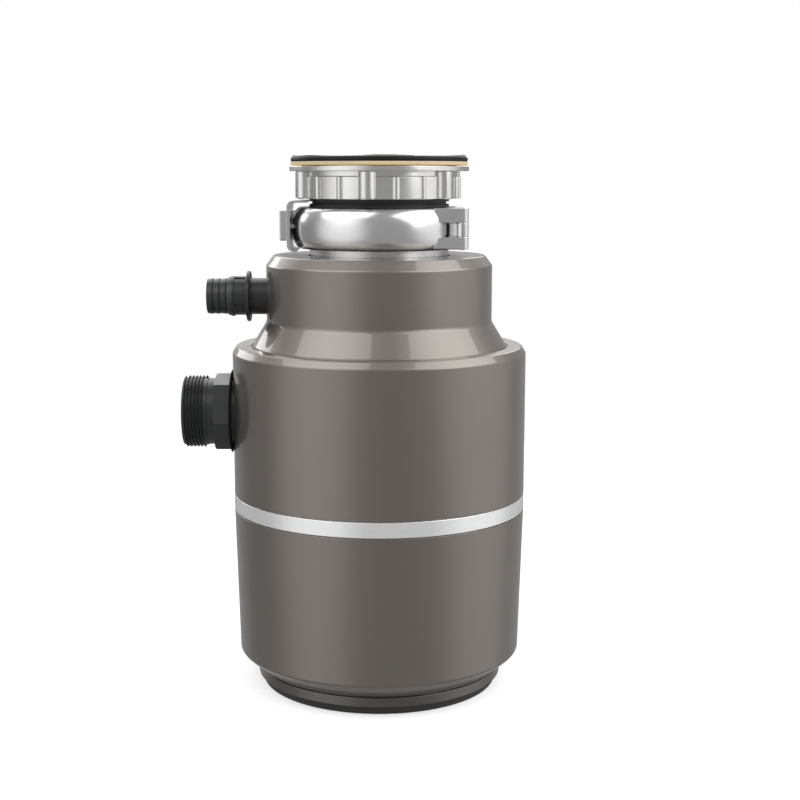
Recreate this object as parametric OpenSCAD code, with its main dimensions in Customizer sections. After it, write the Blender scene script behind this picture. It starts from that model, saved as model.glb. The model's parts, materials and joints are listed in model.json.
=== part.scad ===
// Kitchen food waste disposer with its sink mount. A stainless sink flange and its nut grip the
// sink, a hinged clamp hangs the machine from the flange, and a motor in the casing spins a
// turntable with two swinging impellers inside a toothed ring. Waste leaves through the side.
// The origin is the centre of the foot's underside, +Z points up, and the outlets face -X.

/* [Casing] */
// Radius of the casing at the trim band
body_r = 97; // [94:0.5:102]
// How much the lower shell narrows towards its bevel
lower_taper = 2.8; // [1.5:0.1:4]
// How far the lower shell's bevel comes in
bevel_in = 11.2; // [9:0.1:12]
// Wall of the painted shells
shell_wall = 1.6; // [1.2:0.1:2]
// Height of the lower shell's bevel
bevel_h = 9.9; // [7:0.1:12]
// Height of the lower shell's wall above the bevel
lower_h = 95.6; // [92:0.1:110]
// Open seam above and below the trim band
seam_gap = 0.5; // [0.3:0.1:1]
// Height of the trim band
band_h = 9.8; // [6:0.1:14]
// Height of the main shell's upright wall
main_h = 93.4; // [90:0.1:105]
// How far the main shell's top chamfer comes in
main_chamfer = 2.8; // [1.5:0.1:4]
// Height of the main shell's top chamfer
main_chamfer_h = 4.6; // [3:0.1:6]
// Depth of the seat that the upper shell stands in
seat_d = 1.5; // [1:0.1:2]
// Open groove round the foot of the cone
cone_groove = 1.2; // [0.6:0.1:2]
// Width of the flat shoulder outside that groove
shoulder_w = 9; // [7:0.1:11]
// How far the cone comes in
cone_in = 9.7; // [7:0.1:12]
// Height of the cone above the shoulder
cone_h = 15.9; // [12:0.1:20]
// Height of the upper shell's upright wall
upper_h = 36.8; // [34:0.1:44]
// How far the upper shell's top chamfer comes in
top_chamfer = 4.9; // [3:0.1:7]
// Height of the upper shell's top chamfer
top_chamfer_h = 6.6; // [4:0.1:8]
// Thickness of the upper shell's top
top_plate = 2; // [1.5:0.1:3]

/* [Foot and base] */
// Step in from the base cap to the rubber foot
foot_step = 2; // [1:0.1:3]
// Height of the rubber foot
foot_h = 6; // [4:0.5:10]
// Radial width of the rubber foot
foot_w = 14; // [10:0.5:16]
// How far the foot tapers in towards the floor
foot_taper = 1.3; // [0.5:0.1:2.5]
// Step in from the lower shell's bevel to the base cap
base_step = 1; // [0.5:0.1:2]
// Height of the base cap's visible strip
base_h = 6.2; // [5:0.1:9]
// Height of the groove under the lower shell
base_groove_h = 1.2; // [0.6:0.1:2]
// Depth of the groove under the lower shell
base_groove = 1.6; // [1:0.1:2.5]
// Thickness of the base cap's plate
base_plate = 2.5; // [2:0.1:3]
// Depth of the recess under the base cap's plate
base_recess = 2.5; // [2:0.1:3]
// Radius of the hole for the hexagon key that frees the rotor
key_hole_r = 6; // [5:0.5:8]

/* [Reset button] */
// Radius of the button
button_r = 4.5; // [3.5:0.1:6]
// Travel of the button
button_travel = 2.5; // [1:0.1:3]
// Distance of the button from the foot's inner edge
button_in = 24; // [22:0.5:28]

/* [Waste outlet] */
// Height of the outlet's axis on the main shell, as a share of the wall's height
outlet_rise_share = 0.5675; // [0.55:0.0025:0.6]
// Bore of the outlet, as a radius
outlet_bore_r = 19.5; // [18:0.1:19.8]
// Radius of the outlet's plain spigot
spigot_r = 22; // [21.5:0.1:22.4]
// Crest radius of the outlet's thread
thread_r = 23.9; // [23.2:0.1:24.5]
// Depth of the outlet's thread
thread_d = 1.5; // [1:0.1:1.6]
// Pitch of the outlet's thread
thread_pitch = 2.309; // [1.8:0.001:3]
// Turns of the outlet's thread
thread_turns = 7; // [4:1:9]
// Distance across the flats of the outlet's hexagon
hex_flats = 45; // [44.8:0.1:50]
// Length of the outlet's hexagon
hex_l = 10.3; // [6:0.1:14]
// Length of the plain neck between the hexagon and the thread
neck_l = 4.6; // [2:0.1:6]
// Outer radius of the outlet's washer
washer_r = 27.8; // [27:0.1:31]
// Thickness of the outlet's washer
washer_t = 1.5; // [1.5:0.1:4]

/* [Dishwasher inlet] */
// Height of the inlet's axis on the upper shell, as a share of the wall's height
inlet_rise_share = 0.4375; // [0.42:0.0025:0.48]
// Bore of the inlet, as a radius
inlet_bore_r = 8; // [6:0.1:9]
// Radius of the inlet's pipe
inlet_r = 11.95; // [11:0.05:12.5]
// Radius of the inlet's flange
inlet_flange_r = 16.6; // [15:0.1:20]
// Thickness of the inlet's flange
inlet_flange_t = 2.3; // [1.5:0.1:4]
// Clear length of pipe between the shell and the inlet's flange
inlet_reach = 10.5; // [8:0.1:16]
// Radius of the grooved part behind the barbs
inlet_grip_r = 13.2; // [12.6:0.1:15]
// Length of the grooved part behind the barbs
inlet_grip_l = 10.4; // [8:0.1:14]
// Length of the taper between the grooved part and the barbs
barb_lead = 2.6; // [1.5:0.1:5]
// Crest radius of the hose barbs
barb_r = 11.8; // [11:0.1:12.5]
// Depth of the hose barbs
barb_d = 1.1; // [0.6:0.1:1.6]
// Length of one hose barb
barb_l = 4.4; // [3:0.1:6]
// Number of hose barbs
barb_count = 3; // [2:1:6]
// Grooves round the inlet's grip
grip_grooves = 8; // [4:1:12]

/* [Sink mount] */
// Outer radius of the sink flange's tube
tube_r = 43; // [42.6:0.1:43.3]
// Wall of the sink flange's tube
tube_wall = 1.8; // [1.5:0.1:2]
// Width of the sink flange's rim outside the tube
rim_w = 13.5; // [12:0.1:16]
// Thickness of the sink flange's rim
rim_t = 1.8; // [1.2:0.1:3]
// Width of the two flat gaskets outside the tube
gasket_w = 14.7; // [12:0.1:17]
// Thickness of the rubber gasket
rubber_t = 2.9; // [2:0.1:5]
// Thickness of the fibre gasket
fibre_t = 2.4; // [1.5:0.1:4]
// Wall of the mount nut between its ribs
nut_wall = 9; // [7:0.1:10]
// Width of the mount nut's flange
nut_flange_w = 6.6; // [5:0.1:9]
// Thickness of the mount nut's flange
nut_flange_t = 3.6; // [2.5:0.1:5]
// Relief between the nut's flange and its narrow ribs
nut_relief_h = 3.4; // [2:0.1:6]
// Height of the nut's narrow ribs
nut_rib_h = 14.2; // [10:0.1:20]
// Width of the nut's narrow ribs
thin_rib_w = 4.8; // [4:0.1:7]
// Depth of the nut's narrow ribs
thin_rib_d = 1.6; // [1:0.1:2.3]
// Width of the nut's broad ribs
broad_rib_w = 11.6; // [8:0.1:12]
// Depth of the nut's broad ribs
broad_rib_d = 5.4; // [3:0.1:5.5]
// Ribs round the nut, of which every third is broad
rib_count = 18; // [12:3:24]
// Height of the rubber collar that shows above the clamp
collar_h = 5.1; // [4:0.1:8]
// Wall of the rubber collar
collar_wall = 2.7; // [2.2:0.1:3]
// Depth of the groove round the rubber collar
collar_groove = 1.8; // [1:0.1:2]

/* [Clamp] */
// Gap between the casing's top and the clamp
clamp_gap = 4.4; // [3.6:0.1:8]
// Height of the clamp
clamp_h = 27.1; // [26:0.1:32]
// How far the clamp's rounded band stands outside the sink flange's tube
clamp_w = 14; // [13:0.1:15]
// How far the band rounds in towards its upper and lower edge
clamp_round = 7; // [5:0.1:8]
// Height of the space between the clamp's jaws
jaw_h = 12; // [11.5:0.1:12.5]
// Gap between the clamp's jaws and the rubber collar
jaw_gap = 0.7; // [0.65:0.05:1]
// Distance of the hinge pin outside the band
hinge_out = 8.14; // [7:0.01:10]
// Turn of the hinge from the right towards the front
hinge_turn = 36.45; // [34:0.05:39]
// Radius of the hinge barrel
barrel_r = 4; // [3.5:0.1:4.5]
// Radius of the hinge pin
pin_r = 1.75; // [1.2:0.05:2]
// How far the two clamping lugs stand out from the bracket
lug_out = 6.3; // [6:0.1:9]
// How much lower than the clamp the lugs are
lug_trim = 7; // [4:0.1:12]
// Radius of the clamp screw
screw_r = 2.5; // [2:0.1:2.6]
// Travel of the clamp screw from loose to tight
screw_travel = 10.5; // [8:0.5:11]

/* [Grinding parts] */
// How much narrower the throat is than the sink flange's tube
throat_in = 2; // [1.6:0.1:2.2]
// Wall of the chamber's neck
neck_wall = 4.5; // [3.8:0.1:5]
// Space between the upper shell's outside and the grinding chamber
chamber_gap = 8.3; // [8:0.1:9]
// Wall of the grinding chamber
chamber_wall = 2.5; // [2:0.1:2.6]
// Height of the grinding chamber's dome
dome_h = 15; // [11:0.5:18]
// Gap between the turntable and the toothed ring
table_gap = 1.6; // [1.2:0.1:2.4]
// Thickness of the turntable
table_t = 2.5; // [2:0.1:4]
// How much narrower the toothed ring's inside is than the chamber
ring_in = 6; // [5.5:0.1:6.5]
// Height of the toothed ring
ring_h = 32; // [24:0.5:38]
// Teeth round the ring
ring_teeth = 20; // [12:1:36]
// Distance of the impeller pins from the axis, as a share of the turntable's radius
impeller_place_share = 0.685; // [0.67:0.005:0.7]
// Reach of an impeller from its pin, as a share of the turntable's radius
impeller_reach_share = 0.29; // [0.24:0.005:0.3]
// Width of an impeller
impeller_w = 13; // [10:0.5:14]
// Height of an impeller
impeller_h = 10; // [8:0.5:14]
// Number of slits between the splash guard's flaps
slit_count = 8; // [6:1:12]
// Radius of the hole in the middle of the splash guard
guard_hole_r = 12; // [11.5:0.5:16]

/* [Motor] */
// How much wider the stator is than the grinding chamber
stator_out = 4; // [3:0.5:5]
// Bore of the stator, as a share of its outer size
stator_bore_share = 0.5; // [0.46:0.01:0.54]
// Height of the winding heads beyond the iron
winding_h = 15; // [10:0.5:17]
// Air gap between the rotor and the stator
air_gap = 0.4; // [0.3:0.05:0.8]
// Radius of the motor shaft
shaft_r = 6.35; // [6:0.05:7]
// Outer radius of the two bearings
bearing_r = 10; // [9:0.1:11]

/* [Hidden] */
$fn = 96;

// Clearances
over = 1;            // overrun of a cut past the face that it opens
slip = 0.1;          // two flat faces that slide on each other
running = 0.05;      // a shaft or pin in its bore
snug = 0.02;         // a pressed or bolted fit
clear = 0.3;         // two pieces that pass without touching

// Small sizes of the casing
band_web_t = 2;      // wall of the trim band's inner web
band_lap = 8;        // lap of the web behind each shell
web_clear = 0.4;     // gap between the web and the shells
base_wall = 4;       // wall of the base cap's upstand
base_land = 2;       // underside of the base cap inside the foot
foot_edge = 0.8;     // bevel round the foot's lower edge
main_lip_w = 5.2;    // width of the seat under the upper shell
grommet_r = 6.5;     // hole for the cable grommet
grommet_rise = 21.7; // height of the cable's axis above the bevel
cable_r = 4.1;       // bore of the grommet
grommet_lip = 2.5;   // how far the grommet's outer flange stands beyond its hole
grommet_t = 2.8;     // thickness of the grommet's flanges
post_r = 5.5;        // posts of the base cap
post_in = 11;        // posts from the foot's inner side
post_count = 3;
post_turn = 90;
screw_hole_r = 2.1;  // holes for the base cap's screws
base_screw_r = 2;    // shank of the base cap's screws
base_screw_head_r = 3.8;
base_screw_head_h = 2.4;
base_screw_grip = 5; // thread of a base screw in the end bell

// Radii of the casing, each stepped in from its neighbour
lower_r = body_r - lower_taper;
bevel_r = lower_r - bevel_in;
base_r = bevel_r - base_step;
base_in_r = base_r - base_groove - base_wall;
foot_r = base_r - foot_step;
foot_in_r = foot_r - foot_w;
post_place = foot_in_r - post_in;
button_place = foot_in_r - button_in;
cone_r = body_r - main_chamfer - shoulder_w - cone_groove;
upper_r = cone_r - cone_in;

// Heights of the casing, from the floor up
base_z = foot_h;
lower_z = base_z + base_h + base_groove_h;
bevel_z = lower_z + bevel_h;
lower_top = bevel_z + lower_h;
band_z = lower_top + seam_gap;
band_top = band_z + band_h;
main_z = band_top + seam_gap;
main_top = main_z + main_h;
shoulder_z = main_top + main_chamfer_h;
seat_z = shoulder_z - seat_d;
cone_top = shoulder_z + cone_h;
upper_top = cone_top + upper_h;
casing_top = upper_top + top_chamfer_h;
plate_z = base_z + base_recess;
plate_top = plate_z + base_plate;
cable_z = bevel_z + grommet_rise;
outlet_z = main_z + main_h * outlet_rise_share;
inlet_z = cone_top + upper_h * inlet_rise_share;

// Radii of the grinding chamber, from the casing and the sink tube inwards
chamber_r = upper_r - chamber_gap;
chamber_in_r = chamber_r - chamber_wall;
ring_r = chamber_r - ring_in;
ring_wall = chamber_in_r - slip * 2 - ring_r;
table_r = ring_r - table_gap;
throat_r = tube_r - throat_in;
chamber_neck_r = throat_r + neck_wall;

// The motor's sizes and heights
bell_rise = 12.6;    // lower end bell above the base cap
bell_t = 6;          // plate of the lower end bell
bell_out = 18;       // end bells beyond the grinding chamber's wall
bell_boss_r = 15;    // bearing bosses
bearing_h = 11;      // lower bearing
bearing_long = 21.5; // upper bearing
bearing_floor = 4;   // metal under the lower bearing
bearing_cover = 2.4; // metal over the upper bearing
skirt_t = 4.9;       // skirts that hold the stator
skirt_grip = 6;      // length of stator held by each skirt
stator_rise = 26;    // stator above the lower end bell's plate
upper_bell_t = 10.5; // plate of the upper end bell
pan_h = 9;           // raised floor of the waste chamber
pan_hub_h = 4.5;     // hub round the seal above the floor
seal_r = 14;         // outer radius of the shaft seal
seal_h = 9;          // height of the shaft seal
hub_wall = 4;        // wall round the seal
seal_proud = 1;      // seal above its hub
tie_out = 3.5;       // tie bolts beyond the skirts
tie_r = 2.5;
tie_count = 4;
tie_turn = 45;
tie_head_r = 4.5;
tie_head_h = 3.5;
tie_grip = 8.5;      // thread of a tie bolt in the upper end bell
winding_from_share = 0.257; // winding heads, as shares of the stator's wall
winding_to_share = 0.8;
winding_gap = 10;    // free height above the upper winding head
winding_edge = 4;    // rounding of the winding heads
end_ring_h = 3;      // short-circuit rings of the rotor
end_ring_in = 5;     // end rings inside the stator's bore
collar_shaft_r = 9;  // thrust collar of the shaft
thrust_t = 1.2;
thrust_r = 11;
stub_r = 5;          // threaded end of the shaft
stub_h = 8;
socket_flats = 6.35; // hexagon socket in the shaft's lower end
socket_d = 8;
shaft_recess = 1;    // shaft's lower end above the end bell's underside
cap_r = 7.5;         // start capacitor
cap_h = 42;
cap_out = 8.8;       // capacitor beyond the skirts
cap_rise = 36;       // capacitor above the lower end bell
clip_t = 1.6;
clip_h = 12;
clip_rise = 16;      // clip above the capacitor's lower end
clip_mouth = 9;      // opening of the clip
clip_foot_w = 10;

bell_r = chamber_r + bell_out;
stator_r = chamber_r + stator_out;
stator_bore_r = stator_r * stator_bore_share;
winding_in_r = stator_bore_r + (stator_r - stator_bore_r) * winding_from_share;
winding_out_r = stator_bore_r + (stator_r - stator_bore_r) * winding_to_share;
end_ring_r = stator_bore_r - end_ring_in;
skirt_in_r = stator_r + slip;
skirt_r = skirt_in_r + skirt_t;
tie_place = skirt_r + tie_out;
cap_place = skirt_r + cap_out;
lower_bell_z = lower_z + bell_rise;
lower_plate_top = lower_bell_z + bell_t;
bearing_z = lower_bell_z + bearing_floor;
bearing_top = bearing_z + bearing_h;
stator_z = lower_plate_top + stator_rise;
cap_z = lower_bell_z + cap_rise;

// The waste chamber round the outlet
port_wall = 4;       // wall of the port that takes the outlet adapter
port_r = spigot_r + port_wall;
port_bore_r = 20.5;  // port's bore from the waste chamber to the adapter
port_in = 3;         // outer face of the port inside the casing's surface
port_depth = 6;      // bore's length from the waste chamber's wall
port_lap = 0.8;      // how far the port sinks into the flanges above and below it
housing_flange_t = 4;
housing_top_t = 3.5;
housing_wall = 4;
top_flange_w = 11;   // joint between the waste chamber and the grinding chamber
ledge_w = 4.5;       // ledge that carries the toothed ring
ledge_h = 4;
ledge_drop = 12.5;   // ledge below the housing's top
gasket_t = 1.5;      // gasket between the two chambers
chamber_flange_t = 4;
joint_in = 3.7;      // screws of that joint inside the flange's edge
joint_count = 6;
joint_turn = 30;
joint_r = 2;
joint_head_r = 3.4;
joint_head_h = 3;
flange_screw_in = 4.5; // lower flange's screws inside its edge
flange_screw_grip = 7;
housing_in_r = chamber_r;
housing_r = housing_in_r + housing_wall;
top_flange_r = housing_in_r + top_flange_w;
joint_place = top_flange_r - joint_in;
flange_screw_place = bell_r - flange_screw_in;
port_end = body_r - port_in;
port_seat = housing_in_r + port_depth;
housing_z = outlet_z - port_r - housing_flange_t + port_lap;
housing_top = outlet_z + port_r + housing_top_t - port_lap;
ledge_z = housing_top - ledge_drop;
upper_bell_z = housing_z - upper_bell_t;
pan_z = housing_z + pan_h;
seal_z = pan_z + pan_hub_h - seal_h + seal_proud;
upper_bearing_top = housing_z - bearing_cover;
stator_h = upper_bell_z - stator_z - winding_h - winding_gap;
stator_top = stator_z + stator_h;

// The turntable and what it carries
table_rise = 3;      // turntable above the ledge
table_z = ledge_z + table_rise;
table_top = table_z + table_t;
table_hub_r = 15;
hub_gap = 4;         // hub above the seal
drain_r = 3;
drain_place_share = 0.45;
drain_count = 4;
drain_turn = 45;
nut_flats = 14;
nut_h = 6;
rivet_r = 3;
rivet_head_r = 5;
rivet_head_h = 2;
impeller_place = table_r * impeller_place_share;
impeller_reach = table_r * impeller_reach_share;
impeller_nose_r = impeller_w / 2;
impeller_tail_share = 0.7;
tooth_w = 3;
tooth_h = 6;
tooth_d = 2;

// The grinding chamber
gasket_z = housing_top;
chamber_z = housing_top + gasket_t;
chamber_drop = 1.8;  // chamber's top under the casing's top plate
chamber_top = casing_top - top_plate - chamber_drop;
dome_z = chamber_top - dome_h;
boss_wall = 2.55;    // port for the dishwasher inlet
boss_r = inlet_r + boss_wall;
inlet_seal_t = 1.5;
inlet_seal_in = 0.5; // seal's outer radius inside the port's
inlet_seal_r = boss_r - inlet_seal_in;
boss_end = upper_r - shell_wall * 2 - inlet_seal_t;
inlet_proud = 0.7;   // inlet's pipe inside the chamber's wall
inlet_seat = chamber_in_r - inlet_proud;
liner_t = chamber_gap - shell_wall - clear * 4;
liner_rise = 1;      // liner above the chamber's screw heads
liner_low = chamber_z + chamber_flange_t + joint_head_h + liner_rise;
liner_top = dome_z - clear;
top_hole_gap = 1.5;
top_hole_r = chamber_neck_r + top_hole_gap;

// Radii of the clamp, the nut and the gaskets, each stepped out from the sink tube
tube_in_r = tube_r - tube_wall;
thread_clear = 0.3;
nut_bore_r = tube_r + thread_clear;
nut_r = tube_r + nut_wall;
nut_flange_r = nut_r + nut_flange_w;
thin_rib_r = nut_r + thin_rib_d;
broad_rib_r = nut_r + broad_rib_d;
rim_r = tube_r + rim_w;
gasket_bore_r = tube_r + slip * 2;
gasket_r = tube_r + gasket_w;
collar_r = tube_r + collar_wall;
jaw_r = collar_r + jaw_gap;
clamp_r = tube_r + clamp_w;
clamp_edge_r = clamp_r - clamp_round;
neck_lip_in = 5.5;   // lips inside the clamp's outer side
neck_lip_r = clamp_r - neck_lip_in;
bead_in = 1.5;       // tube's bead inside the lips
bead_r = neck_lip_r - bead_in;
cavity_r = neck_lip_r + clear * 2;

// The clamp and what it grips, from the casing's top up
jaw_rise_share = 0.64;
clamp_z = casing_top + clamp_gap;
clamp_top = clamp_z + clamp_h;
jaw_z = clamp_z + (clamp_h - jaw_h) * jaw_rise_share;
jaw_top = jaw_z + jaw_h;
neck_lip_z = jaw_z + clear;
neck_lip_t = 3;
joint_z = neck_lip_z + neck_lip_t;
seal_t = 3;          // rubber between the two lips
bead_z = joint_z + seal_t;
bead_t = 2;
bead_top = bead_z + bead_t;
nut_z = clamp_top + collar_h + slip;
nut_ribs_top = nut_z + nut_rib_h;
nut_flange_z = nut_ribs_top + nut_relief_h;
nut_top = nut_flange_z + nut_flange_t;
fibre_z = nut_top + slip;
rubber_z = fibre_z + fibre_t;
rim_z = rubber_z + rubber_t;
top_z = rim_z + rim_t;
mouth_out = 3;       // rim's slope meets the throat's rounding this far from the tube
mouth_r = tube_r + mouth_out;
mouth_drop = 0.7;
mouth_round = 2.5;
rubber_edge = 0.7;
nut_edge = 2.2;      // rounding of the nut's lower edge
nut_turn = -8.3;       // a broad rib stands this far from the front
guard_wall = 2.5;
guard_h = 20;
guard_drop = 8;      // splash guard's lower end below the joint
throat_step = 0.7;   // the tube widens by this much above the splash guard
throat_in_r = tube_in_r + throat_step;
throat_step_z = joint_z - guard_drop + guard_h + clear;
flap_t = 2;
flap_fall = 5;       // fall of the flaps towards the middle
slit_w = 1.2;
slit_end_share = 0.88;

// Where the clamp's two halves end, as angles about the axis
front_from = 170;
front_to = 318;
rear_from = 321;
rear_to = 523;

// The clamp's hinge, bracket, lugs and screw
hinge_place = clamp_r + hinge_out;
hinge_x = hinge_place * cos(hinge_turn);
hinge_y = hinge_place * sin(hinge_turn);
barrel_rise = 1;     // hinge above the clamp's lower edge
barrel_trim = 1.2;   // hinge shorter than the clamp
barrel_z = clamp_z + barrel_rise;
barrel_h = clamp_h - barrel_trim;
knuckle_gap = 0.2;
knuckle_share = 0.31;
middle_z = barrel_z + barrel_h * knuckle_share;
middle_share = 0.325;
middle_h = barrel_h * middle_share;
upper_knuckle_z = middle_z + middle_h + knuckle_gap;
leaf_w = 7;
pin_proud = 0.4;
wing_root_share = 0.57;
bracket_in_r = clamp_r + clear;
bracket_wall = 2.3;
bracket_r = bracket_in_r + bracket_wall;
bracket_top_rise = 4.1; // bracket's top above the clamp
bracket_drop = 1.5;     // bracket's underside below the clamp
bracket_t = 1.4;        // bracket's upper and lower walls
bracket_round = 4;
bracket_foot_in = 4;    // bracket's foot inside the clamp's outer side
bracket_foot_r = clamp_r - bracket_foot_in;
bracket_front_y = 20;   // how far the bracket stands in front of the clamp's middle
bracket_pin_r = 2;
bracket_pin_deep = 3;   // how far the pins reach into the clamp's band
bracket_pin_y = 2;
bracket_pin_step = 11;  // distance from one pin to the next
lug_reach = bracket_r + lug_out;
lug_h = clamp_h - lug_trim;
lug_rise_share = 0.63;
lug_z = clamp_z + (clamp_h - lug_h) * lug_rise_share;
lug_mid = lug_z + lug_h / 2;
front_lug_y = 6;
front_lug_l = 12;
rear_lug_y = 26;
rear_lug_l = 6;
lug_root = tube_r + over;
screw_in = 0.7;         // screw inside the middle of the lug's free part
screw_x = (lug_reach + bracket_r) / 2 - screw_in;
screw_skin = 1.2;       // metal left in front of the screw's blind hole
screw_stand = 1;        // gap between the loose screw and the front lug
screw_head_r = 4;
screw_head_h = 5;
screw_key_flats = 4;
screw_key_d = 2.5;
screw_tip_y = front_lug_y + front_lug_l + screw_stand;
screw_head_y = rear_lug_y + rear_lug_l + screw_travel + clear;

// The overload protector and its reset button
protector_w = 28;
protector_l = 22;
protector_h = 13;
button_proud = 5.1;     // button below the base cap's plate
button_flange = 1.3;
button_flange_t = 1.4;
button_guide_r = 2.6;
button_guide_h = 4.4;
spring_r = 4.6;
spring_in_r = 3;
cavity_h = 10;

// Radius of the lower shell's outside at a height
function lower_wall_r(z) = lower_r + (body_r - lower_r) * (z - bevel_z) / lower_h;

// Radius of a hexagon's corners from the distance across its flats
function corner_r(flats) = flats / sqrt(3);

// Outline of the clamp's rounded outer side, from its lower edge to its upper edge
band_step_count = 14;
bulge_share = 2.5;
function band_bulge(t) = pow(1 - pow(abs(t), bulge_share), 1 / bulge_share);
function band_outline() = [
    for (i = [0 : band_step_count])
        let (t = 2 * i / band_step_count - 1)
        [clamp_edge_r + (clamp_r - clamp_edge_r) * band_bulge(t),
         clamp_z + clamp_h * (t + 1) / 2]
];

// Outline of the outlet's thread as ridges along the pipe
thread_start = body_r + clear + washer_t + hex_l + neck_l;
thread_root_r = thread_r - thread_d;
function thread_outline() = [
    for (i = [0 : thread_turns - 1])
        for (p = [[0, 0.1], [1, 0.42], [1, 0.58], [0, 0.9]])
            [thread_root_r + thread_d * p[0], thread_start + thread_pitch * (i + p[1])]
];
outlet_end = thread_start + thread_pitch * thread_turns;

// Outline of the hose barbs, each rising towards the shell
grip_start = upper_r + inlet_reach + inlet_flange_t;
grip_end = grip_start + inlet_grip_l;
barb_start = grip_end + barb_lead;
inlet_end = barb_start + barb_l * barb_count;
function barb_outline() = [
    for (i = [0 : barb_count - 1])
        for (p = [[0, 0], [-1, 1]])
            [barb_r + barb_d * p[0], barb_start + barb_l * (i + p[1])]
];

// A solid of revolution about the machine's axis
module lathe(points) {
    rotate_extrude() polygon(points);
}

// A plain ring between two radii and two heights
module ring(r_out, r_in, low, high) {
    lathe([[r_in, low], [r_out, low], [r_out, high], [r_in, high]]);
}

// Points its children's +Z along -X, at a height
module towards_left(height) {
    translate([0, 0, height]) rotate([0, -90, 0]) children();
}

// Repeats its children round the axis, first at an angle
module round_about(count, first = 0) {
    for (i = [0 : count - 1])
        rotate([0, 0, first + 360 * i / count]) children();
}

// A bar with a hexagonal section
module hexagon(flats, height) {
    cylinder(r = corner_r(flats), h = height, $fn = 6);
}

// A cylinder that stands away from the axis
module post(place, r, low, high) {
    translate([place, 0, low]) cylinder(r = r, h = high - low);
}

module foot_ring() {
    color([0.08, 0.08, 0.08]) lathe([
        [foot_in_r, 0],
        [foot_r - foot_taper - foot_edge, 0],
        [foot_r - foot_taper, foot_edge],
        [foot_r, foot_h],
        [foot_in_r, foot_h]
    ]);
}

module base_cap() {
    color([0.45, 0.42, 0.39]) difference() {
        union() {
            lathe([
                [foot_in_r - base_land, base_z],
                [base_r, base_z],
                [base_r, base_z + base_h],
                [base_r - base_groove, base_z + base_h],
                [base_r - base_groove, lower_z],
                [base_in_r, lower_z],
                [base_in_r, plate_top],
                [0, plate_top],
                [0, plate_z],
                [foot_in_r - base_land, plate_z]
            ]);
            round_about(post_count, post_turn) post(post_place, post_r, plate_z, lower_bell_z);
        }
        translate([0, 0, plate_z - over]) cylinder(r = key_hole_r, h = base_plate + over * 2);
        rotate([0, 0, -90])
            post(button_place, button_r + clear, plate_z - over, plate_top + over);
        round_about(post_count, post_turn)
            post(post_place, screw_hole_r, plate_z - over, lower_bell_z + over);
    }
}

module base_screws() {
    color("silver") round_about(post_count, post_turn) {
        post(post_place, base_screw_head_r, plate_z - base_screw_head_h, plate_z);
        post(post_place, base_screw_r, plate_z, lower_bell_z + base_screw_grip);
    }
}

module lower_shell() {
    color([0.45, 0.42, 0.39]) difference() {
        lathe([
            [base_in_r, lower_z],
            [bevel_r, lower_z],
            [lower_r, bevel_z],
            [body_r, lower_top],
            [body_r - shell_wall, lower_top],
            [lower_r - shell_wall, bevel_z],
            [bevel_r - shell_wall, lower_z + shell_wall],
            [base_in_r, lower_z + shell_wall]
        ]);
        translate([0, 0, cable_z]) rotate([-90, 0, 0])
            cylinder(r = grommet_r, h = body_r + over);
    }
}

module trim_band() {
    web_r = body_r - shell_wall - web_clear;
    web_in_r = web_r - band_web_t;
    color([0.85, 0.86, 0.87]) lathe([
        [web_in_r, band_z - band_lap],
        [web_r, band_z - band_lap],
        [web_r, band_z],
        [body_r, band_z],
        [body_r, band_top],
        [web_r, band_top],
        [web_r, band_top + band_lap],
        [web_in_r, band_top + band_lap]
    ]);
}

module main_shell() {
    under = seat_z - shell_wall;
    lip_r = cone_r + cone_groove - main_lip_w;
    color([0.45, 0.42, 0.39]) difference() {
        lathe([
            [body_r - shell_wall, main_z],
            [body_r, main_z],
            [body_r, main_top],
            [body_r - main_chamfer, shoulder_z],
            [cone_r + cone_groove, shoulder_z],
            [cone_r + cone_groove, seat_z],
            [lip_r, seat_z],
            [lip_r, under],
            [body_r - shell_wall - main_chamfer, under],
            [body_r - shell_wall, under - main_chamfer_h]
        ]);
        towards_left(outlet_z) cylinder(r = spigot_r + over, h = body_r + over);
    }
}

module upper_shell() {
    color([0.45, 0.42, 0.39]) difference() {
        lathe([
            [cone_r - shell_wall, seat_z],
            [cone_r, seat_z],
            [cone_r, shoulder_z],
            [upper_r, cone_top],
            [upper_r, upper_top],
            [upper_r - top_chamfer, casing_top],
            [top_hole_r, casing_top],
            [top_hole_r, casing_top - top_plate],
            [upper_r - top_chamfer - shell_wall, casing_top - top_plate],
            [upper_r - shell_wall, upper_top - top_plate],
            [upper_r - shell_wall, cone_top],
            [cone_r - shell_wall, shoulder_z]
        ]);
        towards_left(inlet_z) cylinder(r = inlet_r + clear, h = upper_r + over);
    }
}

module cable_grommet() {
    wall_out = lower_wall_r(cable_z) + clear;
    wall_in = lower_wall_r(cable_z) - shell_wall - clear * 2;
    color([0.1, 0.1, 0.1]) translate([0, 0, cable_z]) rotate([-90, 0, 0]) lathe([
        [cable_r, wall_in - grommet_t],
        [grommet_r + grommet_lip / 2, wall_in - grommet_t],
        [grommet_r + grommet_lip / 2, wall_in],
        [grommet_r - slip, wall_in],
        [grommet_r - slip, wall_out],
        [grommet_r + grommet_lip, wall_out],
        [grommet_r + grommet_lip, wall_out + grommet_t],
        [cable_r, wall_out + grommet_t]
    ]);
}

module reset_button() {
    low = plate_z - button_proud;
    flange_z = plate_top + slip * 2;
    flange_top = flange_z + button_flange_t;
    color([0.75, 0.08, 0.06]) translate([0, -button_place, 0]) lathe([
        [0, low],
        [button_r, low],
        [button_r, flange_z],
        [button_r + button_flange, flange_z],
        [button_r + button_flange, flange_top],
        [button_guide_r, flange_top],
        [button_guide_r, flange_top + button_guide_h],
        [0, flange_top + button_guide_h]
    ]);
}

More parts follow.
